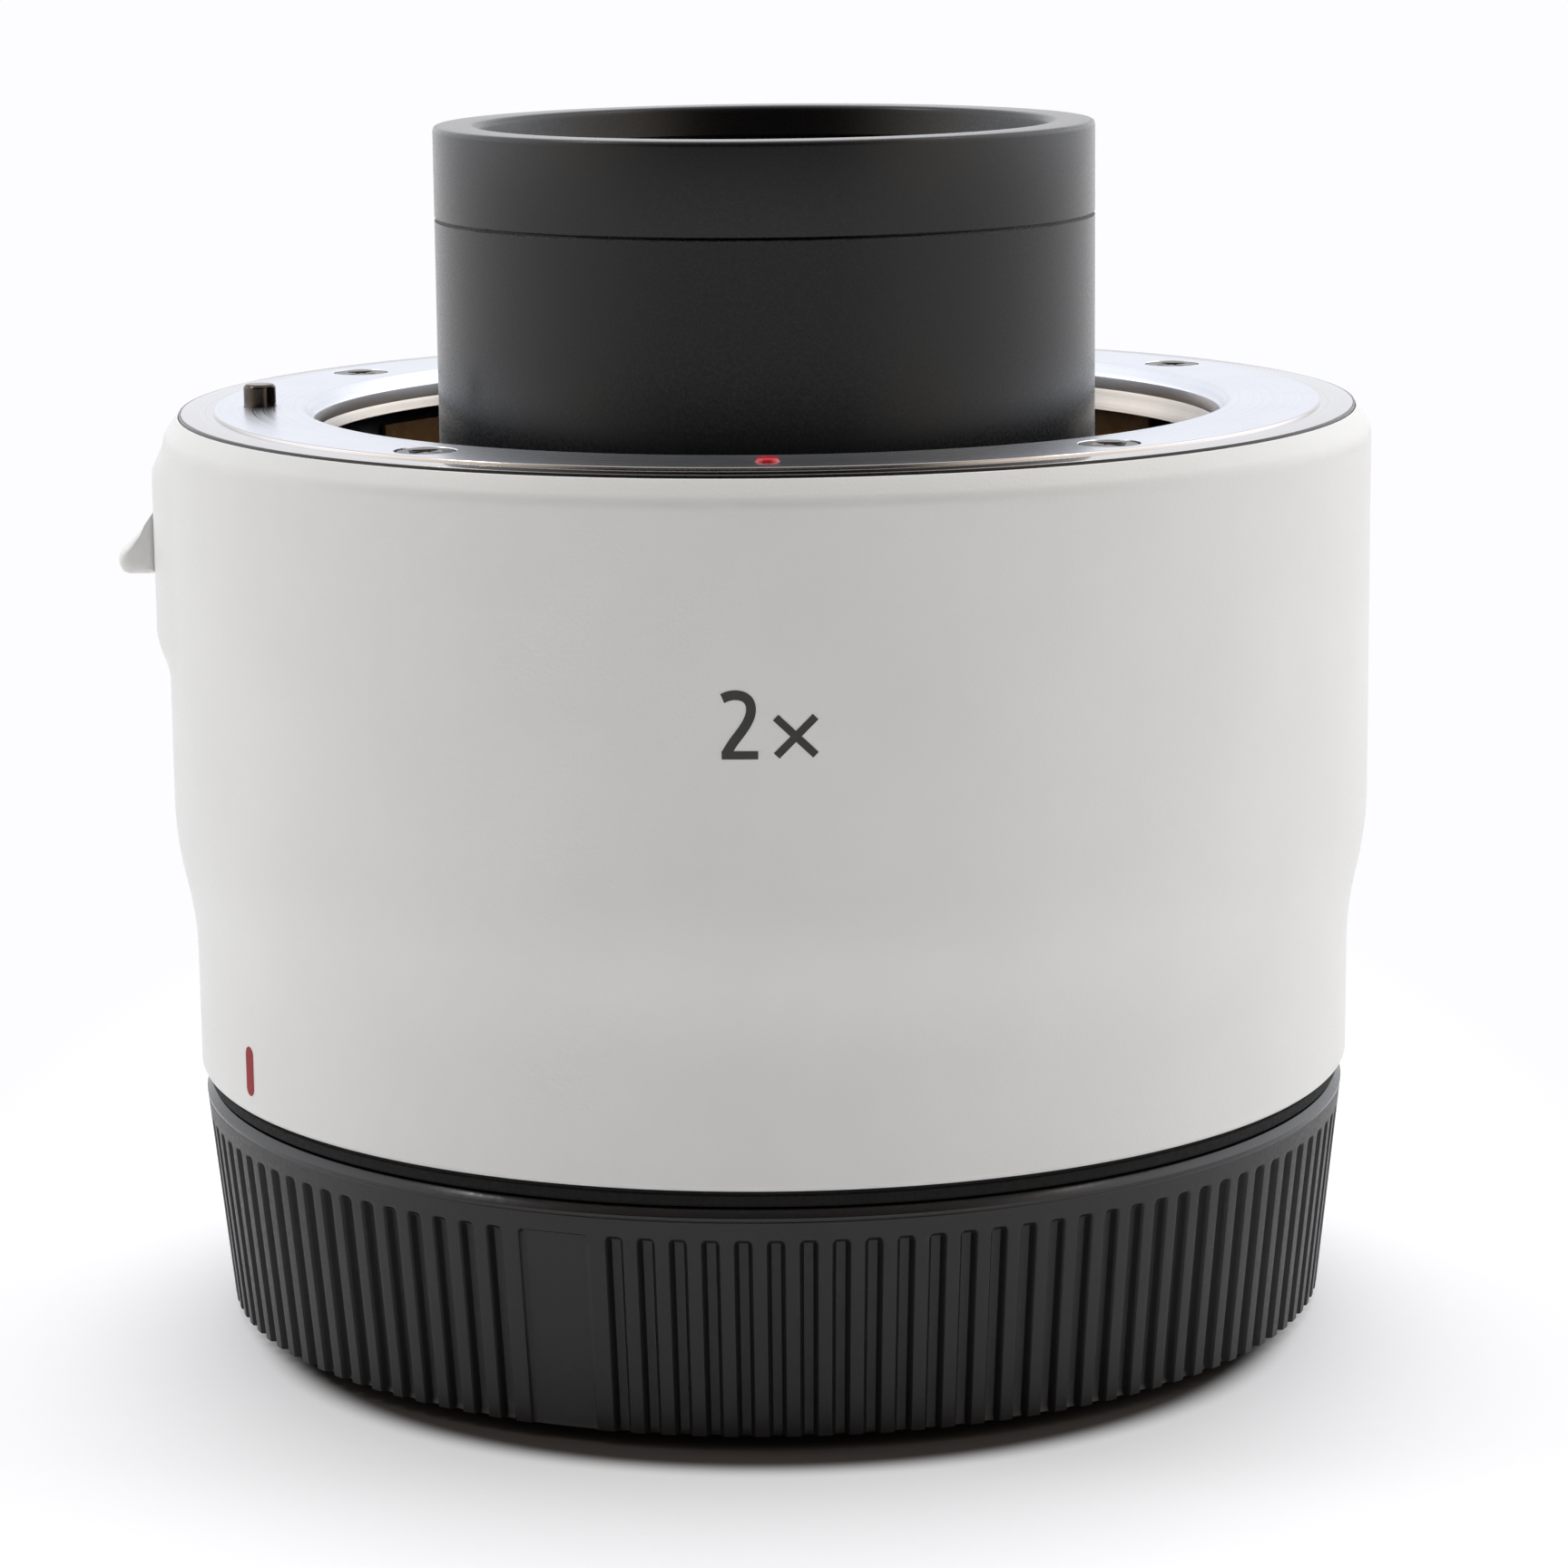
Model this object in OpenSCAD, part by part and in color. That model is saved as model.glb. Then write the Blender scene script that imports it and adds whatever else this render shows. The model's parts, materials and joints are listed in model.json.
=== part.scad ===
// Camera teleconverter, standing on its rear cap with the lens side up.
// Sizes are millimetres. The origin is the centre of the cap's flat base, +Z follows the
// optical axis to the lens side, and the red index dot faces -Y. A clock angle counts from
// -Y towards -X.

/* [Overall] */
// Widest diameter of the outer barrel
barrel_d = 71.2; // [67:0.1:76]
// Height from the rear mount's flange face to the lens mount face
mount_h = 39.3; // [38.5:0.1:46]
// Height of the rear cap
cap_h = 14; // [13:0.1:18]
// Rise of the nose above the lens mount face
nose_rise = 16.25; // [14.75:0.05:22]

/* [Outer barrel] */
// Step of the taper towards the camera end
taper_step = 1.1; // [0.6:0.05:1.3]
// Height of the taper's foot above the camera end
taper_foot = 8.9; // [7:0.1:12]
// Height of the taper
taper_h = 5; // [3:0.1:8]
// Radius of the rounded top edge
top_round = 0.95; // [0.6:0.05:1.1]
// Wall of the barrel
barrel_wall = 2.2; // [1.8:0.1:2.4]
// Inward width of the rib that rests on the chassis
rib_w = 1.3; // [0.8:0.1:2.5]
// Height of that rib
rib_h = 1.5; // [1:0.1:3]

/* [Release lever] */
// Clock angle of the lever
lever_clock = 92; // [91:0.5:98]
// How far the lever's pad stands out of the barrel
pad_rise = 0.85; // [0.5:0.05:1.3]
// Half angle that the pad spreads over
pad_spread = 18; // [15:0.5:24]
// Depth of the pad's full-height part below the mount face
pad_drop = 3.95; // [3:0.05:4.2]
// Height of the pad's full-height part
pad_h = 9.2; // [8.6:0.1:12]
// Height of the slopes above and below it
pad_slope = 2.5; // [1:0.1:3]
// Depth of the thumb piece's flat underside below the mount face
thumb_drop = 9.45; // [9.25:0.05:9.95]
// Height of the thumb piece
thumb_h = 4.3; // [3.6:0.1:4.8]
// Reach of the thumb piece out of the pad
thumb_reach = 2.3; // [2:0.05:4]
// Width of the thumb piece
thumb_w = 6.4; // [4:0.1:7]
// Rounding of the thumb piece's lower lip
thumb_round = 0.8; // [0.4:0.1:1]
// Width of the sliding plate under the thumb piece
plate_w = 7.4; // [7.1:0.1:8.4]
// Thickness of that plate
plate_t = 0.8; // [0.6:0.05:1]
// Height of that plate
plate_h = 5.3; // [5:0.1:5.6]
// Height of the stem that passes through the barrel
stem_h = 2.2; // [2:0.1:2.6]
// Width of the stem
stem_w = 3; // [2.4:0.1:4]
// Travel of the lever
lever_travel = 2; // [1.8:0.05:2.1]
// Thickness of the slider inside the barrel
slider_t = 1; // [0.8:0.05:1.2]
// Height of the slider
slider_h = 5.8; // [5.5:0.1:6.2]
// Thickness of the slider's fork
fork_t = 0.8; // [0.6:0.05:1]
// Width of the fork
fork_w = 3.8; // [3.4:0.1:4.4]

/* [Lock pin] */
// Diameter of the lock pin
pin_d = 1.9; // [1.6:0.05:2]
// Clock angle of the lock pin
pin_clock = 87; // [84:0.5:87.5]
// Height of the pin above the mount face
pin_proud = 1.3; // [1.1:0.05:1.6]
// Diameter of the pin's collar
collar_d = 2.7; // [2.65:0.05:2.9]
// Gap between the collar and the slider
pin_gap = 0.75; // [0.6:0.05:0.8]
// Thickness of the collar
collar_t = 0.95; // [0.6:0.05:1.2]
// Length of pin inside the frame's floor at rest
pin_guide = 1; // [0.6:0.1:1.6]
// Outer diameter of the pin's bush
bush_d = 3.2; // [2.8:0.05:3.3]
// Wire of the pin's spring
spring_wire = 0.3; // [0.2:0.02:0.32]
// Turns of the pin's spring
spring_turns = 4; // [3:1:4]

/* [Lens mount] */
// Width of the mount ring
ring_w = 6.45; // [6.35:0.05:6.5]
// Width of the bayonet claws
claw_w = 0.9; // [0.6:0.05:1]
// Thickness of the mount ring
ring_t = 1.55; // [1.4:0.05:1.9]
// Height of the mount face above the barrel's top edge
ring_proud = 0.25; // [0.1:0.05:0.5]
// Width of the raised face that a lens bears on
face_w = 4.7; // [4.2:0.05:5.2]
// Drop of the ring's outer step below that face
step_drop = 0.35; // [0.2:0.05:0.6]
// Depth of the claws below the mount face
claw_drop = 0.7; // [0.5:0.05:0.8]
// Angle of each claw
claw_angle = 62; // [50:1:68]
// Chamfer of the raised face's edges
ring_chamfer = 0.15; // [0.05:0.05:0.25]
// Width of the dark trim between ring and barrel
trim_w = 0.2; // [0.15:0.05:0.4]
// Height of that trim above the ring's outer step
trim_proud = 0.2; // [0:0.05:0.3]
// Clock angle of the two front ring screws
front_screw_clock = 38; // [32:1:46]
// Clock angle of the two back ring screws
back_screw_clock = 123; // [115:1:135]
// Head of the ring screws
ring_head_d = 3.2; // [2.6:0.05:3.3]
// Height of that head
ring_head_h = 0.7; // [0.5:0.05:0.8]
// Shank of the ring screws
ring_screw_d = 1.6; // [1.2:0.05:1.8]
// Length of the ring screws below the head
ring_screw_l = 4; // [3:0.1:5]
// Diameter of the red index dot
dot_d = 1.4; // [1:0.05:1.6]
// Depth of the index dot's recess
dot_depth = 0.4; // [0.2:0.05:0.6]
// Thickness of the leaf springs under the claws
leaf_t = 0.25; // [0.15:0.05:0.35]
// Half angle of each leaf spring
leaf_half = 20; // [12:1:24]
// Width of the leaf springs
leaf_w = 2.1; // [1.6:0.05:2.2]

/* [Frame and chassis] */
// Height of the front frame
frame_h = 8.6; // [8.4:0.1:9.2]
// Floor of the front frame
floor_t = 2; // [1.8:0.1:2.2]
// Setback of the frame's upstand behind the ring's bore
frame_setback = 0.1; // [0:0.05:0.25]
// Roof over the slider's pocket
roof_t = 1; // [0.8:0.05:1.2]
// Wall of the chassis tube
tube_wall = 2; // [1.6:0.1:2.2]
// Thickness of the chassis flanges
flange_t = 2; // [1.6:0.1:2.6]
// Distance of the frame and board screws inside the throat
floor_screw_in = 1.8; // [1.6:0.05:2.1]
// Width of the front flange outside those screws
flange_edge = 1.8; // [1.5:0.05:2.6]
// Shank of the small screws
small_screw_d = 1.4; // [1:0.05:1.6]
// Head of the small screws
small_head_d = 2.4; // [2:0.05:2.6]
// Head height of the small screws
small_head_h = 0.7; // [0.4:0.05:0.8]
// Depth of thread that the small screws reach
small_bite = 1.5; // [1:0.05:1.55]

/* [Nose] */
// Gap between the nose barrel and the claws
nose_gap = 7.7; // [7.5:0.05:8.2]
// Wall of the nose barrel
nose_wall = 2.3; // [2:0.05:2.5]
// Step of the front ring out of the nose barrel
nose_ring_step = 0.1; // [0:0.05:0.5]
// Height of the front ring
nose_ring_h = 5.3; // [4.5:0.1:6]
// Width of the front ring's rim
nose_rim_w = 2.6; // [2.4:0.05:3.2]
// Wall of the front ring's spigot
spigot_wall = 1.35; // [1:0.05:1.6]
// Length of the spigot that clamps the lens cells
spigot_l = 2.1; // [1.6:0.1:2.6]
// Width of the fine groove under the front ring
nose_groove = 0.1; // [0.05:0.05:0.3]
// Number of light-trap ridges in the front ring
trap_count = 4; // [3:1:6]
// Depth of those ridges
trap_depth = 0.35; // [0.2:0.05:0.4]
// Width of the nose barrel's foot
nose_foot_w = 3.3; // [3.1:0.05:3.4]
// Thickness of the foot
nose_foot_t = 1.2; // [0.8:0.05:1.3]
// Distance of the foot's screws from the nose barrel
nose_screw_out = 1.7; // [1.6:0.05:1.9]

/* [Optics] */
// Wall of the front cell
front_cell_wall = 1.9; // [1.7:0.05:2.9]
// Centre thickness of the front element
front_lens_t = 4.2; // [3.8:0.1:5]
// Wall of the front doublet's cell
doublet_cell_wall = 3.4; // [2.9:0.1:4.4]
// Wall of the triplet's cell
triplet_cell_wall = 4.4; // [3.9:0.1:5.4]
// Wall of the rear doublet's cell
rear_doublet_cell_wall = 3.9; // [3.4:0.1:4.9]
// Wall of the rear cell
rear_cell_wall = 2.35; // [2.3:0.05:3.3]
// Centre thickness of the rear element
rear_lens_t = 4.2; // [3.6:0.1:4.4]
// Height of the front cell
front_cell_h = 5.5; // [5.2:0.1:6.5]
// Height of the front doublet's cell
doublet_cell_h = 10; // [9.6:0.1:11]
// Height of the triplet's cell
triplet_cell_h = 13.5; // [13.2:0.1:14.5]
// Height of the rear doublet's cell
rear_doublet_cell_h = 9; // [7.6:0.1:10]
// Height of the spacer behind the triplet
rear_spacer_h = 3; // [1.5:0.1:4]
// Width of the shoulders that the elements rest on
seat_w = 1; // [0.8:0.05:1.2]
// Height of the threaded retaining rings
retainer_t = 1.1; // [0.8:0.05:1.2]

/* [Rear mount] */
// Thickness of the gasket's band round the rear mount's flange
gasket_band = 0.8; // [0.6:0.05:1.1]
// Thickness of the rear mount's flange
mount_flange_t = 2.25; // [2:0.05:2.6]
// Rise of the flange face out of the barrel's camera end
flange_proud = 0.25; // [0.1:0.05:0.5]
// Thickness of the shim behind it
shim_t = 0.2; // [0.1:0.05:0.4]
// Play of the bayonet tube in a throat like the lens side's
bayonet_play = 0.15; // [0.1:0.05:0.4]
// Wall of the bayonet tube
bayonet_wall = 1.85; // [1.4:0.05:1.85]
// Length of the bayonet tube below the flange
bayonet_l = 5.5; // [5:0.1:6.5]
// Play of the bayonet tabs in a bore like the lens side's
tab_play = 0.1; // [0.1:0.05:0.4]
// Distance from the flange to the tabs
tab_drop = 2.4; // [2.3:0.05:2.6]
// Thickness of the tabs
tab_t = 1.8; // [1.4:0.05:2]
// Angle of each tab
tab_angle = 50; // [40:1:54]
// Angle of the stop beside one tab
stop_angle = 3; // [2:0.5:5]
// Distance of the flange screws from the flange's edge
mount_screw_in = 2.2; // [2:0.05:2.5]
// Thickness of the weather gasket's lip
gasket_t = 1; // [0.8:0.05:1.4]
// Inset of the gasket's lip from the barrel's camera end
gasket_inset = 0.5; // [0.3:0.05:1.2]
// Drop of the rear cell below the flange
rear_cell_drop = 5.2; // [5:0.1:5.4]
// Thickness of the light baffle behind the rear element
baffle_t = 0.6; // [0.4:0.05:0.7]
// Mask beside the baffle's window, from the rear element's rim
window_side = 3.5; // [3:0.1:5]
// Mask above and below that window
window_end = 7; // [6:0.1:8.5]

/* [Rear cap] */
// Overhang of the cap's top edge past the gasket
cap_overhang = 0.25; // [0:0.05:0.5]
// Inward slope of the cap's side from its top edge to its base
cap_slope = 1.4; // [0.8:0.05:2]
// Thickness of the cap's floor
cap_floor = 1.5; // [1.2:0.1:2.5]
// Wall of the cap at its base
cap_wall = 2.25; // [1.8:0.05:2.6]
// Bevel of the cap's top edge
cap_bevel = 0.45; // [0.2:0.05:0.8]
// Chamfer of the cap's base edge
cap_chamfer = 0.8; // [0.4:0.1:1.2]
// Angular places of the grip grooves
groove_count = 120; // [90:1:132]
// Width of a grip groove
groove_w = 0.98; // [0.6:0.02:1.1]
// Depth of a grip groove
groove_depth = 0.5; // [0.3:0.05:0.7]
// Distance from the cap's top edge down to the grooves
groove_drop = 1.75; // [1.2:0.05:3]
// Clock angle of the plain thumb panel
panel_clock = 21; // [0:3:90]
// Half angle of the plain thumb panel
panel_half = 3.4; // [2:0.1:8]
// Depth of the plain thumb panel
panel_depth = 0.25; // [0.1:0.05:0.4]
// Thickness of the cap's claws
cap_claw_t = 1; // [0.7:0.05:1.1]
// Angle of each cap claw
cap_claw_angle = 50; // [40:1:54]

/* [Electrics] */
// Number of contacts on each side
contact_count = 12; // [8:1:12]
// Angle between neighbouring contacts
contact_step = 5; // [4.6:0.1:5.2]
// Distance of the front contact pins inside the throat
contact_in = 1.8; // [1.7:0.05:2.2]
// Diameter of a front contact pin
contact_d = 0.9; // [0.7:0.05:1]
// Diameter of the shoulder on a front contact pin
contact_shoulder_d = 1.2; // [1.15:0.05:1.3]
// Height of that shoulder
contact_shoulder_h = 0.8; // [0.5:0.05:0.9]
// Height of the pins above their block
contact_proud = 0.9; // [0.75:0.05:1.2]
// Travel of the contact pins
contact_travel = 0.7; // [0.4:0.05:0.75]
// Height of the front contact block
front_block_h = 3; // [2.9:0.1:3.4]
// Gap between the nose's foot and the front contact block
front_block_gap = 0.6; // [0.4:0.05:0.8]
// Half angle of both contact blocks
block_half = 36; // [35.5:0.5:40]
// Half angle between each block's two screws
block_screw_half = 32; // [31.5:0.5:33]
// Width of the rear contact block
rear_block_w = 4.7; // [4.4:0.05:4.8]
// Drop of the rear contact block below the flange
rear_block_drop = 4.9; // [4:0.1:5.2]
// Diameter of a rear contact pad
pad_d = 1.4; // [1:0.05:1.5]
// Depth of a rear contact pad
pad_depth = 0.9; // [0.5:0.05:1.2]
// Height of the rear contact pads above their block
pad_proud = 0.1; // [0.05:0.05:0.3]
// Thickness of the flexible circuits
flex_t = 0.25; // [0.15:0.05:0.3]
// Height of the front flexible circuit
flex_h = 3.6; // [2.5:0.1:3.8]
// Half angle of the front flexible circuit
flex_half = 68; // [45:1:75]
// Half angle of the tail down to the board
flex_tail_half = 6; // [4:0.5:10]
// Width of the rear flexible circuit
rear_flex_w = 8; // [5:0.5:10]
// Distance of the rear flexible circuit from the block's outer edge
rear_flex_in = 1.3; // [0.8:0.05:1.8]
// Gap between the chassis tube and the circuit board
board_gap = 3.5; // [2:0.1:3.6]
// Gap between the circuit board and the barrel
board_margin = 2.9; // [2.4:0.1:4.4]
// Thickness of the circuit board
board_t = 1; // [0.6:0.1:1.4]
// Length of the posts that carry the board
post_l = 2.2; // [1.8:0.1:4]
// Diameter of those posts
post_d = 3.2; // [2.8:0.1:3.4]
// Height of the chips on the board
chip_h = 0.9; // [0.5:0.1:1.5]

/* [Clearances] */
// Radial gap of a close fit
fit = 0.05; // [0.02:0.01:0.08]
// Gap of a sliding or loose fit
air = 0.2; // [0.15:0.01:0.25]
// Gap between the cap and the pieces that it twists against
cap_gap = 0.1; // [0.08:0.01:0.25]
// Gap of a cemented or resting lens surface
cement = 0.02; // [0.01:0.01:0.03]

/* [Hidden] */
$fn = 96;
// Finer division for the long lens curves
lens_fn = 360;
// How far a cutter runs past what it cuts
cut = 1;
// Bevel on the rim of an element
lens_bevel = 0.4;
back_clock = 180;
three = [0, 120, 240];
// Angle from one of three places to half way to the next
half_way = 60;
head_recess = 0.35;
head_slot_w = 0.4;
// How far the slider runs past the pin and past the lever, in degrees
slider_past_pin = 5;
slider_past_lever = 6;

// Levels
rear_z = cap_h + cap_gap + gasket_t;
flange_z = rear_z - flange_proud;
front_z = flange_z + mount_h;
nose_top = front_z + nose_rise;
nose_seam = nose_top - nose_ring_h;
barrel_top = front_z - ring_proud;
ring_seat_z = front_z - ring_t;
step_z = front_z - step_drop;
deck_z = ring_seat_z - frame_h;
floor_top = deck_z + floor_t;
shim_z = flange_z + mount_flange_t;
chassis_z = shim_z + shim_t;
chassis_flange_top = chassis_z + flange_t;
front_flange_z = deck_z - flange_t;
board_top = front_flange_z - post_l;
board_z = board_top - board_t;

// Radii of the barrel, mount and frame
barrel_r = barrel_d / 2;
lower_r = barrel_r - taper_step;
barrel_in_r = barrel_r - barrel_wall;
lower_in_r = lower_r - barrel_wall;
rim_r = barrel_r - top_round;
trim_r = rim_r - fit;
ring_r = trim_r - trim_w - fit;
ring_bore_r = ring_r - ring_w;
throat_r = ring_bore_r - claw_w;
face_r = ring_bore_r + face_w;
face_middle = ring_bore_r + face_w / 2;
leaf_in_r = throat_r + fit;
leaf_r = leaf_in_r + leaf_w;
frame_r = barrel_in_r - air;
frame_in_r = ring_bore_r + frame_setback;
frame_screw_at = throat_r - floor_screw_in;
front_flange_r = frame_screw_at + flange_edge;
chassis_flange_r = lower_in_r - air;

// Radii of the nose and of the lens cells in it
nose_r = throat_r - nose_gap;
nose_ring_r = nose_r + nose_ring_step;
nose_open_r = nose_ring_r - nose_rim_w;
nose_foot_r = nose_r + nose_foot_w;
nose_screw_at = nose_r + nose_screw_out;
frame_floor_in_r = nose_foot_r + air;
stack_r = nose_r - nose_wall;
tube_r = stack_r + tube_wall;
cell_r = stack_r - fit;
spigot_open_r = cell_r - spigot_wall;
front_lens_r = cell_r - front_cell_wall - fit;
doublet_r = cell_r - doublet_cell_wall - fit;
triplet_r = cell_r - triplet_cell_wall - fit;
rear_doublet_r = cell_r - rear_doublet_cell_wall - fit;
rear_cell_r = stack_r - 2 * fit;
rear_lens_r = rear_cell_r - rear_cell_wall - fit;

// Radii of the camera side
mount_flange_r = lower_in_r - gasket_band - 2 * fit;
mount_screw_at = mount_flange_r - mount_screw_in;
bayonet_r = throat_r - bayonet_play;
bayonet_in_r = bayonet_r - bayonet_wall;
tab_r = ring_bore_r - tab_play;
gasket_r = lower_r - gasket_inset;
cap_top_r = gasket_r + cap_overhang;
cap_foot_r = cap_top_r - cap_slope;
cap_in_r = cap_foot_r - cap_wall;

// Lever pad: a cylinder whose flank meets the barrel at the pad's spread
pad_r = barrel_r + pad_rise;
pad_centre = (pad_r * pad_r - barrel_r * barrel_r) / (2 * (pad_r - barrel_r * cos(pad_spread)));
pad_bulge_r = pad_r - pad_centre;
pad_top = front_z - pad_drop;
pad_foot = pad_top - pad_h;

// Release: thumb piece, plate, stem and slider
thumb_z = front_z - thumb_drop;
plate_front = pad_r - fit;
plate_back = plate_front - plate_t;
plate_z = thumb_z - (plate_h - thumb_h) / 2;
stem_z = thumb_z + (thumb_h - stem_h) / 2;
slider_r = frame_r - air;
slider_in_r = slider_r - slider_t;
pocket_top = ring_seat_z - roof_t;
slider_top = pocket_top - air;
fork_z = slider_top - fork_t;
slider_z = slider_top - slider_h;
slider_from = pin_clock - slider_past_pin;
slider_to = lever_clock + slider_past_lever;

// Lock pin
pin_r = pin_d / 2;
collar_r = collar_d / 2;
pin_at = slider_in_r - pin_gap - collar_r;
collar_top = fork_z - fit;
collar_z = collar_top - collar_t;
pin_foot = floor_top - pin_guide;
pin_tip_z = front_z + pin_proud;
coil_r = pin_r + fit + spring_wire / 2;

// Lens cells, from the rear of the bore to the nose
spigot_z = nose_seam + nose_groove - spigot_l;
rear_spigot = 0.7;
rear_doublet_z = chassis_z + rear_spigot;
rear_spacer_z = rear_doublet_z + rear_doublet_cell_h;
triplet_z = rear_spacer_z + rear_spacer_h;
doublet_z = triplet_z + triplet_cell_h;
front_spacer_z = doublet_z + doublet_cell_h;
front_cell_z = spigot_z - front_cell_h;
spacer_wall = 2.5;
rear_cell_z = rear_z - rear_cell_drop;
cell_flange_t = 2;
cell_flange_edge = 0.6;
cell_screw_at = stack_r + tube_wall / 2 + 2 * fit;
cell_flange_r = cell_screw_at + small_screw_d / 2 + cell_flange_edge;
baffle_lap = 1;
baffle_r = rear_lens_r + baffle_lap;
window_w = 2 * (rear_lens_r - window_side);
window_h = 2 * (rear_lens_r - window_end);

// Element curves: positive domes towards the lens side, negative hollows
front_lens_curves = [-80, 55];
doublet_curves = [35, -45, 50];
doublet_t = [1.6, 5];
triplet_curves = [48, -42, 40, -60];
triplet_t = [1.3, 5.2, 1.3];
rear_doublet_curves = [-70, -48, 50];
rear_doublet_t = [1.8, 4.6];
rear_lens_curves = [-90, 70];
front_seat = 1.6;
doublet_seat = 0.9;
triplet_seat = 0.9;
rear_doublet_seat = 2;
rear_seat_t = 1.2;
rear_lens_seat = baffle_t + rear_seat_t;

// Bayonet of the rear mount and the cap that twists on it
tab_z = flange_z - tab_drop - tab_t;
cap_claw_z = tab_z + tab_t + cap_gap;
cap_claw_in_r = bayonet_r + air;
stop_h = cap_claw_t;
cap_draft = atan((cap_top_r - cap_foot_r) / (cap_h - cap_bevel));
groove_step = 360 / groove_count;

// Contacts
contact_at = throat_r - contact_in;
front_block_in_r = nose_foot_r + front_block_gap;
front_block_r = frame_in_r - flex_t - 4 * fit - air;
rear_block_r = bayonet_in_r - air;
rear_block_in_r = rear_block_r - rear_block_w;
rear_flex_at = rear_block_r - rear_flex_in;
board_in_r = tube_r + board_gap;
board_r = barrel_in_r - board_margin;
rear_block_z = rear_z - rear_block_drop;
rear_contact_at = (rear_block_in_r + rear_block_r) / 2;
contact_first = back_clock - contact_step * (contact_count - 1) / 2;
contact_clocks = [for (i = [0 : contact_count - 1]) contact_first + i * contact_step];
block_roof = 0.8;
bore_step_z = floor_top + front_block_h - block_roof;
shoulder_top = bore_step_z - fit;
shoulder_z = shoulder_top - contact_shoulder_h;
contact_tip_z = floor_top + front_block_h + contact_proud;
flex_r = frame_in_r - fit;
flex_z = floor_top + fit;

// Colours
paint_white = "#d9d8d4";
anodised_black = "#2b2b2c";
chrome_silver = "#d4d6da";
screw_steel = "#8f9196";
glass_tint = "#7f8fa0";
moulded_black = "#242425";
gold_plate = "#d9b45a";
amber_film = "#a06c34";
board_green = "#2f5d3a";
index_red = "#b3202c";

// Shared shapes

// Places children on a clock angle and a radius
module at(clock, r) {
    rotate([0, 0, -clock])
        translate([0, -r, 0])
            children();
}

// Round ring from z up
module ring(r_in, r_out, z, h) {
    translate([0, 0, z])
        difference() {
            cylinder(r = r_out, h = h);
            translate([0, 0, -cut])
                cylinder(r = r_in, h = h + 2 * cut);
        }
}

// Sector of a ring, centred on a clock angle
module arc(r_in, r_out, z, h, clock, half) {
    rotate([0, 0, -90 - clock - half])
        rotate_extrude(angle = 2 * half)
            translate([r_in, z])
                square([r_out - r_in, h]);
}

// Round rod or bore along Z
module rod(r, z, h) {
    translate([0, 0, z])
        cylinder(r = r, h = h);
}

// Pan screw with a cross recess: its head's seat is at z = 0 and its shank points down
module screw(head_d, head_h, shank_d, length) {
    difference() {
        union() {
            cylinder(d = head_d, h = head_h);
            translate([0, 0, -length])
                cylinder(d = shank_d, h = length + head_h / 2);
        }
        for (turn = [0, 90])
            rotate([0, 0, turn])
                translate([-head_d / 3, -head_slot_w / 2, head_h - head_recess])
                    cube([head_d / 1.5, head_slot_w, head_recess + cut]);
    }
}

module small_screw(grip) {
    screw(small_head_d, small_head_h, small_screw_d, grip + small_bite);
}

// Blind or through hole that takes a small screw's shank
module small_hole(z, h) {
    rod(small_screw_d / 2 + fit, z, h);
}

// Height of a spherical surface's vertex over its points at radius r
function sag(curve, r) = sign(curve) * (abs(curve) - sqrt(curve * curve - r * r));

// Vertex of the surface that rests on a shoulder at z
function seated_vertex(curve, z, r) =
    curve > 0 ? z + sag(curve, r - lens_bevel) : z + sag(curve, r - seat_w) + cement;

// Level at which a retaining ring meets an upper surface
function retainer_level(curve, vertex, r) =
    vertex - sag(curve, curve > 0 ? r - seat_w : r - lens_bevel) + cement;

// Vertices of a cemented group's surfaces, from its rear surface up, as [lower, upper] for each element
function group_vertices(first, thickness, i = 0) =
    i == len(thickness) ? []
    : concat([[first, first + thickness[i]]],
             group_vertices(first + thickness[i] + cement, thickness, i + 1));

module space_above(curve, z, r) {
    if (curve < 0)
        translate([0, z - curve])
            circle(-curve, $fn = lens_fn);
    else
        difference() {
            translate([0, z - sag(curve, r) - cut])
                square([r + cut, sag(curve, r) + 2 * cut]);
            translate([0, z - curve])
                circle(curve, $fn = lens_fn);
        }
}

module space_below(curve, z, r) {
    if (curve > 0)
        translate([0, z - curve])
            circle(curve, $fn = lens_fn);
    else
        difference() {
            translate([0, z - cut])
                square([r + cut, 2 * cut - sag(curve, r)]);
            translate([0, z - curve])
                circle(-curve, $fn = lens_fn);
        }
}

// One element between two spherical surfaces, given as [lower, upper]
module element(r, curves, vertices) {
    foot = min(vertices[0], vertices[0] - sag(curves[0], r - lens_bevel));
    head = max(vertices[1], vertices[1] - sag(curves[1], r - lens_bevel));
    color(glass_tint, 0.6)
        rotate_extrude()
            difference() {
                translate([0, foot])
                    square([r, head - foot]);
                space_above(curves[1], vertices[1], r);
                space_below(curves[0], vertices[0], r);
            }
}

// Stepped tube that holds a group on a shoulder
module cell(z, h, seat, r) {
    color(anodised_black)
        rotate_extrude()
            polygon([
                [r - seat_w, z], [cell_r, z], [cell_r, z + h],
                [r + fit, z + h], [r + fit, z + seat], [r - seat_w, z + seat]
            ]);
}

// Threaded ring that closes a cell, with two spanner slots
module retainer(r, z) {
    slot_w = 1;
    color(anodised_black)
        difference() {
            ring(r - seat_w, r, z, retainer_t);
            for (turn = [0, 180])
                rotate([0, 0, turn])
                    translate([r - seat_w - cut, -slot_w / 2, z + retainer_t / 2])
                        cube([seat_w + 2 * cut, slot_w, retainer_t]);
        }
}

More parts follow.
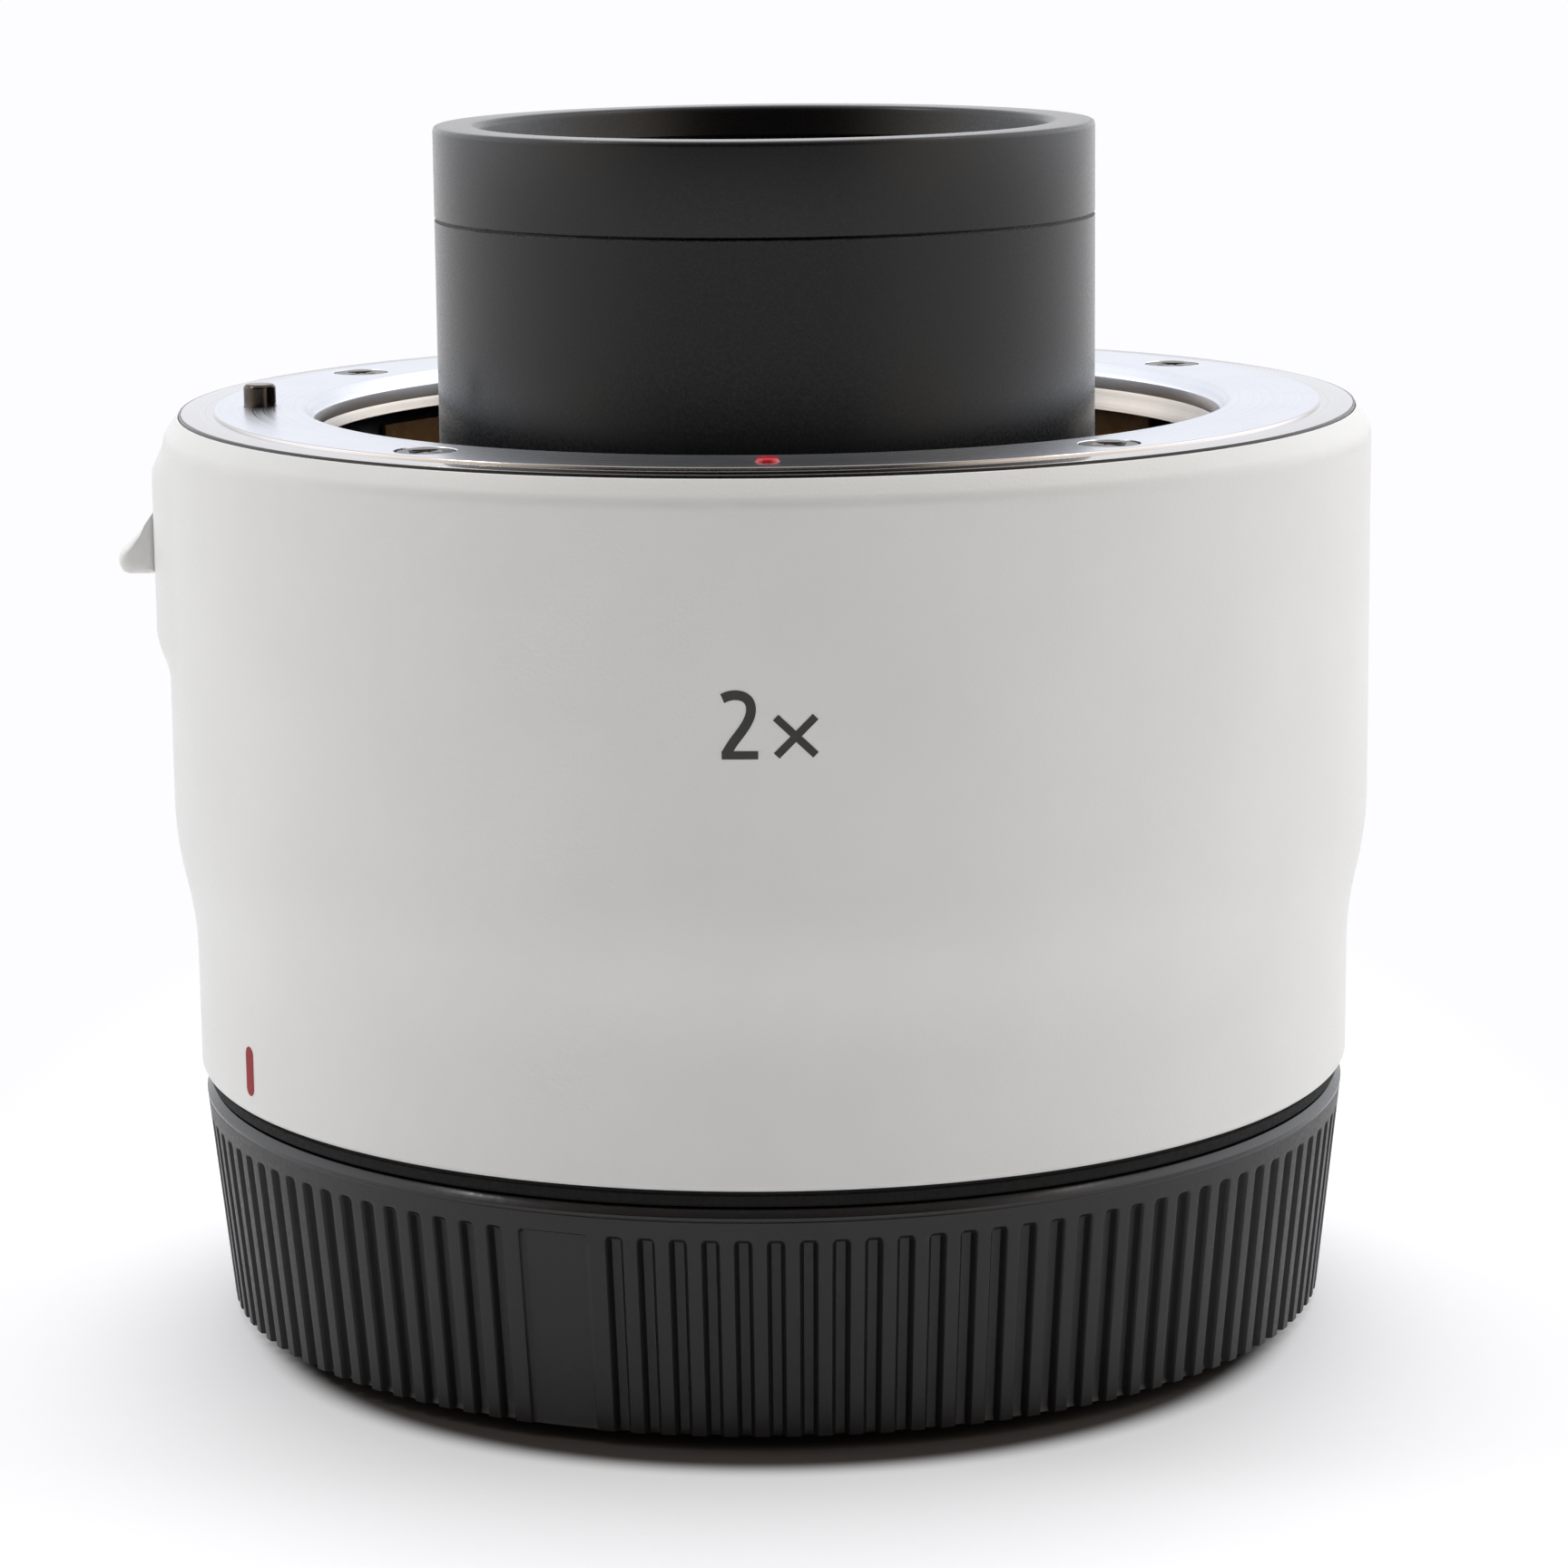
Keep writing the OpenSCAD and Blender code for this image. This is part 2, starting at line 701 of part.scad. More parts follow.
// Vertices of each group, from its shoulder
front_lens_low = seated_vertex(front_lens_curves[0], front_cell_z + front_seat, front_lens_r);
front_lens_v = [front_lens_low, front_lens_low + front_lens_t];
doublet_v = group_vertices(
    seated_vertex(doublet_curves[0], doublet_z + doublet_seat, doublet_r), doublet_t);
triplet_v = group_vertices(
    seated_vertex(triplet_curves[0], triplet_z + triplet_seat, triplet_r), triplet_t);
rear_doublet_v = group_vertices(
    seated_vertex(rear_doublet_curves[0], rear_doublet_z + rear_doublet_seat, rear_doublet_r),
    rear_doublet_t);
rear_lens_low = seated_vertex(rear_lens_curves[0], rear_cell_z + rear_lens_seat, rear_lens_r);
rear_lens_v = [rear_lens_low, rear_lens_low + rear_lens_t];

// Casing

// White barrel: straight top, taper, narrower camera end, lever pad and inner rib
module outer_barrel() {
    taper_z = rear_z + taper_foot;
    color(paint_white)
        difference() {
            union() {
                rotate_extrude() {
                    polygon([
                        [0, rear_z], [lower_r, rear_z], [lower_r, taper_z],
                        [barrel_r, taper_z + taper_h], [barrel_r, barrel_top - top_round],
                        [rim_r, barrel_top - top_round], [rim_r, barrel_top], [0, barrel_top]
                    ]);
                    intersection() {
                        translate([rim_r, barrel_top - top_round])
                            circle(top_round);
                        translate([rim_r, barrel_top - top_round])
                            square(top_round);
                    }
                }
                at(lever_clock, pad_centre)
                    lever_pad();
            }
            rotate_extrude()
                barrel_bore();
            rotate([0, 0, -lever_clock])
                lever_recess();
        }
}

// Bulge around the lever, sloped into the barrel at its top and foot
module lever_pad() {
    bury = pad_rise + air;
    rotate_extrude()
        polygon([
            [0, pad_foot - pad_slope], [pad_bulge_r - bury, pad_foot - pad_slope],
            [pad_bulge_r, pad_foot], [pad_bulge_r, pad_top],
            [pad_bulge_r - bury, min(pad_top + pad_slope, barrel_top)],
            [0, min(pad_top + pad_slope, barrel_top)]
        ]);
}

// Section of the barrel's inside
module barrel_bore() {
    taper_z = rear_z + taper_foot;
    polygon([
        [0, rear_z - cut], [lower_in_r, rear_z - cut], [lower_in_r, chassis_flange_top],
        [lower_in_r - rib_w, chassis_flange_top], [lower_in_r - rib_w, chassis_flange_top + rib_h],
        [lower_in_r, chassis_flange_top + rib_h], [lower_in_r, taper_z],
        [barrel_in_r, taper_z + taper_h], [barrel_in_r, ring_seat_z], [rim_r, ring_seat_z],
        [rim_r, front_z + cut], [0, front_z + cut]
    ]);
}

// Flat recess for the sliding plate, and the stem's slot through the wall
module lever_recess() {
    translate([-plate_w / 2 - air, -pad_r - cut, plate_z - lever_travel - air])
        cube([plate_w + 2 * air, pad_r + cut - plate_back + fit, plate_h + lever_travel + 2 * air]);
    translate([-stem_w / 2 - air, -pad_r - cut, stem_z - lever_travel - air])
        cube([stem_w + 2 * air, pad_r + cut - barrel_in_r + cut, stem_h + lever_travel + 2 * air]);
}

// Chromed ring: raised face, outer step, three claws, screw wells, a pin hole and the dot's recess
module lens_mount_ring() {
    well = ring_head_d / 2 + 2 * fit;
    well_z = front_z - ring_head_h - fit;
    color(chrome_silver)
        difference() {
            union() {
                rotate_extrude()
                    polygon([
                        [ring_bore_r, ring_seat_z], [ring_r, ring_seat_z], [ring_r, step_z],
                        [face_r, step_z], [face_r, front_z - ring_chamfer],
                        [face_r - ring_chamfer, front_z], [ring_bore_r + ring_chamfer, front_z],
                        [ring_bore_r, front_z - ring_chamfer]
                    ]);
                for (clock = three)
                    arc(throat_r, ring_bore_r + claw_w, ring_seat_z, ring_t - claw_drop,
                        clock, claw_angle / 2);
            }
            ring_screw_places()
                union() {
                    rod(well, well_z, ring_t);
                    rod(ring_screw_d / 2 + fit, ring_seat_z - cut, ring_t + cut);
                }
            at(pin_clock, pin_at)
                rod(pin_r + fit, ring_seat_z - cut, ring_t + 2 * cut);
            at(0, face_middle)
                rod(dot_d / 2, front_z - dot_depth, dot_depth + cut);
        }
}

module ring_screw_places() {
    for (side = [-1, 1], clock = [front_screw_clock, back_screw_clock])
        at(side * clock, face_middle)
            children();
}

module mount_ring_screws() {
    color(screw_steel)
        ring_screw_places()
            translate([0, 0, front_z - ring_head_h - fit])
                screw(ring_head_d, ring_head_h, ring_screw_d, ring_screw_l);
}

// Thin dark ring between the mount ring and the barrel's rim
module mount_trim_ring() {
    color(moulded_black)
        ring(trim_r - trim_w, trim_r, ring_seat_z, step_z + trim_proud - ring_seat_z);
}

module mount_index_dot() {
    color(index_red)
        at(0, face_middle)
            rod(dot_d / 2 - cement, front_z - dot_depth, dot_depth - cement);
}

// Leaves under the claws that pull a mounted lens up to the ring
module bayonet_springs() {
    color(screw_steel)
        for (clock = three)
            arc(leaf_in_r, leaf_r, ring_seat_z - leaf_t, leaf_t, clock, leaf_half);
}

// Frame and chassis

// Dished frame under the mount ring, with the release's pocket
module front_frame() {
    color(moulded_black)
        difference() {
            union() {
                ring(frame_floor_in_r, frame_r, deck_z, floor_t);
                ring(frame_in_r, frame_r, deck_z, frame_h);
            }
            ring_screw_places()
                rod(ring_screw_d / 2 + fit, ring_seat_z - ring_screw_l, ring_screw_l + cut);
            for (clock = three)
                arc(frame_in_r - cut, leaf_r + fit, ring_seat_z - leaf_t - cement, leaf_t + cut, clock,
                    leaf_half + 1);
            release_pocket();
            frame_screw_places()
                union() {
                    small_hole(deck_z - cut, floor_t + 2 * cut);
                    rod(small_head_d / 2 + air, deck_z + nose_foot_t, floor_t);
                }
            block_screw_places(contact_at)
                small_hole(deck_z - cut, floor_t + 2 * cut);
            arc(flex_r - flex_t - air, flex_r + air, deck_z - cut, floor_t + 2 * cut, back_clock,
                flex_tail_half + 1);
        }
}

// Room for the slider, its fork, the lever screw's head, the pin's collar and the bush
module release_pocket() {
    middle = (slider_from + slider_to) / 2;
    half = (slider_to - slider_from) / 2 + 1;
    arc(slider_in_r - air, frame_r + cut, deck_z - cut, pocket_top - deck_z + cut, middle, half);
    arc(pin_at - collar_r - air, frame_r + cut, floor_top, pocket_top - floor_top, middle, half);
    rotate([0, 0, -lever_clock])
        translate([-small_head_d / 2 - air, -slider_in_r, deck_z - cut])
            cube([small_head_d + 2 * air, small_head_h + fit + air, floor_t + 2 * cut]);
    at(pin_clock, pin_at) {
        rod(pin_r + fit, deck_z - cut, floor_t + 2 * cut);
        rod(bush_d / 2, pocket_top - cut, roof_t + 2 * cut);
    }
}

module frame_screw_places() {
    for (clock = [0, 110, 250])
        at(clock, frame_screw_at)
            children();
}

module frame_screws() {
    color(screw_steel)
        frame_screw_places()
            translate([0, 0, deck_z + nose_foot_t])
                small_screw(nose_foot_t);
}

// Tube that the lens cells stack in, with a flange at each end and posts for the board
module chassis() {
    color(anodised_black)
        difference() {
            union() {
                ring(stack_r, tube_r, chassis_z, deck_z - chassis_z);
                ring(stack_r, chassis_flange_r, chassis_z, flange_t);
                ring(stack_r, front_flange_r, front_flange_z, flange_t);
                board_screw_places()
                    rod(post_d / 2, board_top, post_l + flange_t / 2);
            }
            frame_screw_places()
                small_hole(deck_z - small_bite - air, small_bite + air + cut);
            nose_screw_places()
                small_hole(deck_z - small_bite - air, small_bite + air + cut);
            board_screw_places()
                small_hole(board_top - cut, small_bite + air + cut);
            mount_screw_places()
                small_hole(chassis_z - cut, small_bite + air + cut);
            cell_screw_places()
                small_hole(chassis_z - cut, small_bite + air + cut);
            block_screw_places(rear_contact_at)
                small_hole(chassis_z - cut, flange_t + 2 * cut);
            translate([-rear_flex_w / 2 - air, rear_flex_at - air, chassis_z - cut])
                cube([rear_flex_w + 2 * air, flex_t + 2 * air, flange_t + 2 * cut]);
        }
}

// Nose

// Black tube that reaches into the mounted lens, with a screwed foot
module nose_barrel() {
    color(anodised_black)
        difference() {
            union() {
                ring(stack_r, nose_r, deck_z, nose_seam - deck_z);
                ring(stack_r, nose_foot_r, deck_z, nose_foot_t);
            }
            nose_screw_places()
                small_hole(deck_z - cut, nose_foot_t + 2 * cut);
        }
}

module nose_screw_places() {
    for (clock = three)
        at(clock + half_way, nose_screw_at)
            children();
}

module nose_screws() {
    color(screw_steel)
        nose_screw_places()
            translate([0, 0, deck_z + nose_foot_t])
                small_screw(nose_foot_t);
}

// Screwed ring that closes the nose, clamps the cells and traps stray light
module nose_front_ring() {
    foot_z = nose_seam + nose_groove;
    edge = 0.25;
    trap_z = spigot_z + spigot_l / 2;
    trap_pitch = (nose_top - edge - trap_z) / trap_count;
    trap_h = trap_pitch / 2;
    trap_lean = (nose_open_r - spigot_open_r) / trap_count;
    color(anodised_black)
        rotate_extrude()
            difference() {
                polygon([
                    [spigot_open_r, spigot_z], [cell_r, spigot_z], [cell_r, foot_z],
                    [nose_ring_r, foot_z], [nose_ring_r, nose_top - edge],
                    [nose_ring_r - edge, nose_top], [nose_open_r, nose_top], [spigot_open_r, trap_z]
                ]);
                for (i = [0 : trap_count - 1])
                    translate([spigot_open_r + trap_lean * i, trap_z + i * trap_pitch])
                        polygon([[-cut, 0], [trap_depth, 0], [0, trap_h], [-cut, trap_h]]);
            }
}

// Optics, from the lens side to the camera side

module front_lens() {
    element(front_lens_r, front_lens_curves, front_lens_v);
}

module front_cell() {
    cell(front_cell_z, front_cell_h, front_seat, front_lens_r);
}

module front_retainer() {
    retainer(front_lens_r, retainer_level(front_lens_curves[1], front_lens_v[1], front_lens_r));
}

module front_spacer() {
    color(anodised_black)
        ring(cell_r - spacer_wall, cell_r, front_spacer_z, front_cell_z - front_spacer_z);
}

module doublet_cell() {
    cell(doublet_z, doublet_cell_h, doublet_seat, doublet_r);
}

module doublet_front_lens() {
    element(doublet_r, [doublet_curves[1], doublet_curves[2]], doublet_v[1]);
}

module doublet_rear_lens() {
    element(doublet_r, [doublet_curves[0], doublet_curves[1]], doublet_v[0]);
}

module doublet_retainer() {
    retainer(doublet_r, retainer_level(doublet_curves[2], doublet_v[1][1], doublet_r));
}

module triplet_cell() {
    cell(triplet_z, triplet_cell_h, triplet_seat, triplet_r);
}

module triplet_front_lens() {
    element(triplet_r, [triplet_curves[2], triplet_curves[3]], triplet_v[2]);
}

module triplet_middle_lens() {
    element(triplet_r, [triplet_curves[1], triplet_curves[2]], triplet_v[1]);
}

module triplet_rear_lens() {
    element(triplet_r, [triplet_curves[0], triplet_curves[1]], triplet_v[0]);
}

module triplet_retainer() {
    retainer(triplet_r, retainer_level(triplet_curves[3], triplet_v[2][1], triplet_r));
}

module rear_spacer() {
    color(anodised_black)
        ring(cell_r - spacer_wall, cell_r, rear_spacer_z, rear_spacer_h);
}

module rear_doublet_cell() {
    cell(rear_doublet_z, rear_doublet_cell_h, rear_doublet_seat, rear_doublet_r);
}

module rear_doublet_front_lens() {
    element(rear_doublet_r, [rear_doublet_curves[1], rear_doublet_curves[2]], rear_doublet_v[1]);
}

module rear_doublet_rear_lens() {
    element(rear_doublet_r, [rear_doublet_curves[0], rear_doublet_curves[1]], rear_doublet_v[0]);
}

module rear_doublet_retainer() {
    retainer(rear_doublet_r,
             retainer_level(rear_doublet_curves[2], rear_doublet_v[1][1], rear_doublet_r));
}

// Cell behind the chassis, with a screwed flange, a centring spigot and a recess for the baffle
module rear_cell() {
    color(anodised_black)
        difference() {
            rotate_extrude()
                polygon([
                    [rear_lens_r - seat_w, rear_cell_z + baffle_t], [baffle_r + fit, rear_cell_z + baffle_t],
                    [baffle_r + fit, rear_cell_z], [rear_cell_r, rear_cell_z],
                    [rear_cell_r, chassis_z - cell_flange_t], [cell_flange_r, chassis_z - cell_flange_t],
                    [cell_flange_r, chassis_z], [cell_r, chassis_z], [cell_r, chassis_z + rear_spigot],
                    [rear_lens_r + fit, chassis_z + rear_spigot],
                    [rear_lens_r + fit, rear_cell_z + rear_lens_seat],
                    [rear_lens_r - seat_w, rear_cell_z + rear_lens_seat]
                ]);
            cell_screw_places() {
                small_hole(chassis_z - cell_flange_t - cut, cell_flange_t + 2 * cut);
                rod(small_head_d / 2 + fit, rear_cell_z - cut, chassis_z - cell_flange_t - rear_cell_z + cut);
            }
        }
}

module rear_lens() {
    element(rear_lens_r, rear_lens_curves, rear_lens_v);
}

module rear_retainer() {
    retainer(rear_lens_r, retainer_level(rear_lens_curves[1], rear_lens_v[1], rear_lens_r));
}

module cell_screw_places() {
    for (clock = three)
        at(clock, cell_screw_at)
            children();
}

module cell_screws() {
    color(screw_steel)
        cell_screw_places()
            translate([0, 0, chassis_z - cell_flange_t])
                mirror([0, 0, 1])
                    small_screw(cell_flange_t);
}

// Plate with a rectangular window, snapped into the rear cell
module rear_baffle() {
    color(moulded_black)
        difference() {
            rod(baffle_r, rear_cell_z, baffle_t);
            translate([-window_w / 2, -window_h / 2, rear_cell_z - cut])
                cube([window_w, window_h, baffle_t + 2 * cut]);
        }
}

// Contacts and board

module block_screw_places(r) {
    for (side = [-1, 1])
        at(back_clock + side * block_screw_half, r)
            children();
}

// Carrier of the sprung front contacts, with a stepped bore for each
module front_contact_block() {
    color(moulded_black)
        difference() {
            arc(front_block_in_r, front_block_r, floor_top, front_block_h, back_clock, block_half);
            for (clock = contact_clocks)
                at(clock, contact_at) {
                    rod(contact_d / 2 + fit, floor_top - cut, front_block_h + 2 * cut);
                    rod(contact_shoulder_d / 2 + fit, floor_top - cut, bore_step_z - floor_top + cut);
                }
            block_screw_places(contact_at)
                small_hole(floor_top - cut, front_block_h + 2 * cut);
        }
}

// Twelve round-tipped pins that sink together when a lens is mounted
module front_contact_pins() {
    color(gold_plate)
        for (clock = contact_clocks)
            at(clock, contact_at) {
                rod(contact_shoulder_d / 2, shoulder_z, contact_shoulder_h);
                rod(contact_d / 2, shoulder_z, contact_tip_z - contact_d / 2 - shoulder_z);
                translate([0, 0, contact_tip_z - contact_d / 2])
                    sphere(d = contact_d);
            }
}

// Small springs under the contact pins, as plain sleeves
module contact_springs() {
    color(screw_steel)
        for (clock = contact_clocks)
            at(clock, contact_at)
                ring(contact_d / 4, contact_d / 2, floor_top, shoulder_z - floor_top - cement);
}

module contact_block_screws() {
    color(screw_steel) {
        block_screw_places(contact_at)
            translate([0, 0, floor_top + front_block_h])
                small_screw(front_block_h);
        block_screw_places(rear_contact_at)
            translate([0, 0, chassis_flange_top])
                small_screw(flange_t);
    }
}

// Flexible circuit along the frame's inner wall, with a tail through the floor to the board
module front_flex() {
    color(amber_film) {
        arc(flex_r - flex_t, flex_r, flex_z, flex_h, back_clock, flex_half);
        arc(flex_r - flex_t + cement, flex_r - cement, board_top, flex_z + flex_h / 2 - board_top,
            back_clock, flex_tail_half);
    }
}

module main_board() {
    color(board_green)
        difference() {
            ring(board_in_r, board_r, board_z, board_t);
            board_screw_places()
                small_hole(board_z - cut, board_t + 2 * cut);
        }
}

module board_screw_places() {
    for (clock = three)
        at(clock + half_way, frame_screw_at)
            children();
}

module board_screws() {
    color(screw_steel)
        board_screw_places()
            translate([0, 0, board_z])
                mirror([0, 0, 1])
                    small_screw(board_t);
}

// Chips under the board, as [clock angle, width, depth]
module board_chips() {
    chips = [[0, 5, 5], [32, 4, 3], [95, 6, 4], [128, 3, 3], [232, 5, 4], [265, 3, 4], [328, 4, 4]];
    color(moulded_black)
        for (chip = chips)
            at(chip[0], (board_in_r + board_r) / 2)
                translate([-chip[1] / 2, -chip[2] / 2, board_z - chip_h])
                    cube([chip[1], chip[2], chip_h]);
}

// Straight flexible strip from the board to the rear contact block
module rear_flex() {
    color(amber_film)
        translate([-rear_flex_w / 2, rear_flex_at, chassis_z])
            cube([rear_flex_w, flex_t, board_z - chassis_z]);
}

module rear_contact_block() {
    color(moulded_black)
        difference() {
            arc(rear_block_in_r, rear_block_r, rear_block_z, chassis_z - rear_block_z, back_clock,
                block_half);
            for (clock = contact_clocks)
                at(clock, rear_contact_at)
                    rod(pad_d / 2 + cement, rear_block_z - cut, pad_depth + cut);
            block_screw_places(rear_contact_at)
                small_hole(chassis_z - small_bite - air, small_bite + air + cut);
        }
}

module rear_contacts() {
    color(gold_plate)
        for (clock = contact_clocks)
            at(clock, rear_contact_at)
                rod(pad_d / 2, rear_block_z - pad_proud, pad_depth + pad_proud);
}

// Camera side

module mount_screw_places() {
    for (clock = [40, 130, 220, 310])
        at(clock, mount_screw_at)
            children();
}

// Bayonet that enters the camera: flange, tube, three tabs and the cap's stop
module rear_mount() {
    well_z = flange_z + small_head_h + fit;
    color(chrome_silver)
        difference() {
            union() {
                ring(bayonet_in_r, mount_flange_r, flange_z, mount_flange_t);
                ring(bayonet_in_r, bayonet_r, flange_z - bayonet_l, bayonet_l + mount_flange_t);
                for (clock = three)
                    arc(bayonet_in_r, tab_r, tab_z, tab_t, clock, tab_angle / 2);
                arc(bayonet_in_r, tab_r, cap_claw_z, stop_h, -(cap_claw_angle + stop_angle) / 2 - 1,
                    stop_angle / 2);
            }
            mount_screw_places() {
                rod(small_head_d / 2 + fit, flange_z - cut, small_head_h + fit + cut);
                small_hole(well_z - cut, mount_flange_t + cut);
            }
        }
}

module rear_mount_screws() {
    grip = mount_flange_t + shim_t - small_head_h - fit;
    color(screw_steel)
        mount_screw_places()
            translate([0, 0, flange_z + small_head_h + fit])
                mirror([0, 0, 1])
                    small_screw(grip);
}

module mount_shim() {
    color(screw_steel)
        difference() {
            ring(bayonet_in_r + air, mount_flange_r, shim_z, shim_t);
            mount_screw_places()
                small_hole(shim_z - cut, shim_t + 2 * cut);
        }
}

// Rubber seal: a band round the flange and a lip that closes on the camera
module rear_gasket() {
    color(moulded_black)
        rotate_extrude()
            polygon([
                [mount_flange_r + fit, rear_z - gasket_t], [gasket_r, rear_z - gasket_t],
                [gasket_r, rear_z], [lower_in_r - fit, rear_z], [lower_in_r - fit, chassis_z],
                [mount_flange_r + fit, chassis_z]
            ]);
}

// Moulded cap with a drafted, grooved grip, a plain thumb panel and three inner claws
module rear_cap() {
    groove_l = (cap_h - groove_drop) / cos(cap_draft);
    panel_w = 2 * cap_top_r * sin(panel_half);
    color(moulded_black)
        difference() {
            union() {
                rotate_extrude()
                    polygon([
                        [0, 0], [cap_foot_r - cap_chamfer, 0],
                        [cap_foot_r + cap_chamfer * tan(cap_draft), cap_chamfer],
                        [cap_top_r, cap_h - cap_bevel], [cap_top_r - cap_bevel, cap_h],
                        [cap_in_r, cap_h], [cap_in_r, cap_floor], [0, cap_floor]
                    ]);
                for (clock = three)
                    arc(cap_claw_in_r, cap_in_r + air, cap_claw_z, cap_claw_t, clock, cap_claw_angle / 2);
            }
            for (i = [0 : groove_count - 1])
                if (abs(i * groove_step - panel_clock) > panel_half + groove_step / 2)
                    grip_cut(i * groove_step, groove_w, groove_depth, groove_l);
            grip_cut(panel_clock, panel_w, panel_depth, groove_l);
        }
}

// Cutter that follows the cap's draft
module grip_cut(clock, w, depth, length) {
    at(clock, cap_foot_r)
        rotate([cap_draft, 0, 0])
            translate([-w / 2, -2 * cut, -cut])
                cube([w, depth + 2 * cut, length + cut]);
}

// Release

// Pin that locks the mounted lens, with a collar for the fork and the spring
module lock_pin() {
    tip = 0.2;
    color(screw_steel)
        at(pin_clock, pin_at) {
            rod(pin_r, pin_foot, pin_tip_z - tip - pin_foot);
            translate([0, 0, pin_tip_z - tip])
                cylinder(r1 = pin_r, r2 = pin_r - tip, h = tip);
            rod(collar_r, collar_z, collar_t);
        }
}

module lock_pin_bush() {
    color(gold_plate)
        at(pin_clock, pin_at)
            ring(pin_r + fit, bush_d / 2 - cement, pocket_top, roof_t);
}

// Coil round the pin, one unbroken tube
module lock_pin_spring() {
    sides = 6;
    rings_per_turn = 8;
    low = floor_top + spring_wire / 2 + cement;
    rise = collar_z - floor_top - spring_wire - 2 * cement;
    rings = spring_turns * rings_per_turn;
    pitch = rise / spring_turns;
    echo(least_gap_of_lock_pin_spring = pitch - spring_wire);
    points = [
        for (i = [0 : rings], j = [0 : sides - 1])
            let (turn = 360 * i / rings_per_turn, side = 360 * j / sides,
                 r = coil_r + spring_wire / 2 * cos(side))
            [r * cos(turn), r * sin(turn), low + rise * i / rings + spring_wire / 2 * sin(side)]
    ];
    skin = [
        for (i = [0 : rings - 1], j = [0 : sides - 1], half = [0, 1])
            let (a = i * sides + j, b = i * sides + (j + 1) % sides)
            half == 0 ? [a, a + sides, b] : [b, a + sides, b + sides]
    ];
    ends = [
        for (j = [1 : sides - 2], last = [0, 1])
            let (first = rings * sides)
            last == 0 ? [0, j, j + 1] : [first, first + j + 1, first + j]
    ];
    color(screw_steel)
        at(pin_clock, pin_at)
            polyhedron(points, concat(skin, ends));
}

// Curved plate inside the barrel with a fork over the pin's collar
module release_slider() {
    middle = (slider_from + slider_to) / 2;
    color(screw_steel)
        difference() {
            union() {
                arc(slider_in_r, slider_r, slider_z, slider_h, middle, (slider_to - slider_from) / 2);
                rotate([0, 0, -pin_clock])
                    translate([-fork_w / 2, -slider_in_r - slider_t / 2, fork_z])
                        cube([fork_w, slider_in_r + slider_t / 2 - pin_at, fork_t]);
            }
            at(pin_clock, pin_at)
                rod(pin_r + air, fork_z - cut, fork_t + 2 * cut);
            lever_screw_place()
                small_hole(-slider_t - air, slider_t + 2 * air + cut);
        }
}

// Places children on the lever screw's seat, the slider's inner face, with +Z pointing inwards
module lever_screw_place() {
    rotate([0, 0, -lever_clock])
        translate([0, -slider_in_r + fit, stem_z + stem_h / 2])
            rotate([-90, 0, 0])
                children();
}

// Thumb piece on a sliding plate, with a stem that reaches the slider
module release_lever() {
    tip_r = pad_r + thumb_reach;
    thumb_top = thumb_z + thumb_h;
    hollow_r = 5;
    color(paint_white)
        difference() {
            rotate([0, 0, -lever_clock]) {
                translate([-plate_w / 2, -plate_front, plate_z])
                    cube([plate_w, plate_t, plate_h]);
                translate([-stem_w / 2, -plate_back - fit, stem_z])
                    cube([stem_w, plate_back + fit - slider_r - fit, stem_h]);
                translate([-thumb_w / 2, 0, 0])
                    rotate([90, 0, 90])
                        linear_extrude(thumb_w)
                            difference() {
                                polygon([
                                    [-plate_front + fit, thumb_z], [-tip_r + thumb_round, thumb_z],
                                    [-tip_r, thumb_z + thumb_round], [-tip_r, thumb_z + thumb_h / 2],
                                    [-plate_front + fit, thumb_top]
                                ]);
                                translate([-tip_r - fit, thumb_top + hollow_r - thumb_h / 2 + thumb_round / 2])
                                    circle(hollow_r);
                            }
            }
            lever_screw_place()
                small_hole(-slider_t - small_bite - 2 * air, small_bite + 2 * air + cut);
        }
}

module lever_screw() {
    color(screw_steel)
        lever_screw_place()
            small_screw(slider_t);
}

outer_barrel();
lens_mount_ring();
mount_ring_screws();
mount_trim_ring();
mount_index_dot();
bayonet_springs();
front_frame();
frame_screws();
chassis();
nose_barrel();
nose_screws();
nose_front_ring();
front_lens();
front_cell();
front_retainer();
front_spacer();
doublet_cell();
doublet_front_lens();
doublet_rear_lens();
doublet_retainer();
triplet_cell();
triplet_front_lens();
triplet_middle_lens();
triplet_rear_lens();
triplet_retainer();
rear_spacer();
rear_doublet_cell();
rear_doublet_front_lens();
rear_doublet_rear_lens();
rear_doublet_retainer();
rear_cell();
rear_lens();
rear_retainer();
cell_screws();
rear_baffle();
front_contact_block();
front_contact_pins();
contact_springs();
contact_block_screws();
front_flex();
main_board();
board_chips();
board_screws();
rear_flex();
rear_contact_block();
rear_contacts();
rear_mount();
rear_mount_screws();
mount_shim();
rear_gasket();
rear_cap();
lock_pin();
lock_pin_bush();
lock_pin_spring();
release_slider();
release_lever();
lever_screw();
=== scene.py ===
"""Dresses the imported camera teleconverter: its visible shapes, finishes, studio and camera.

Shapes are worked out in millimetres, with the optical axis as Z and the foot of the rear cap at zero, and go into
their meshes in metres. A clock angle counts in degrees from -Y, where the index dot is, towards -X.
"""

import json
import logging
from dataclasses import dataclass, field
from enum import Enum
from typing import Any, Optional, Sequence

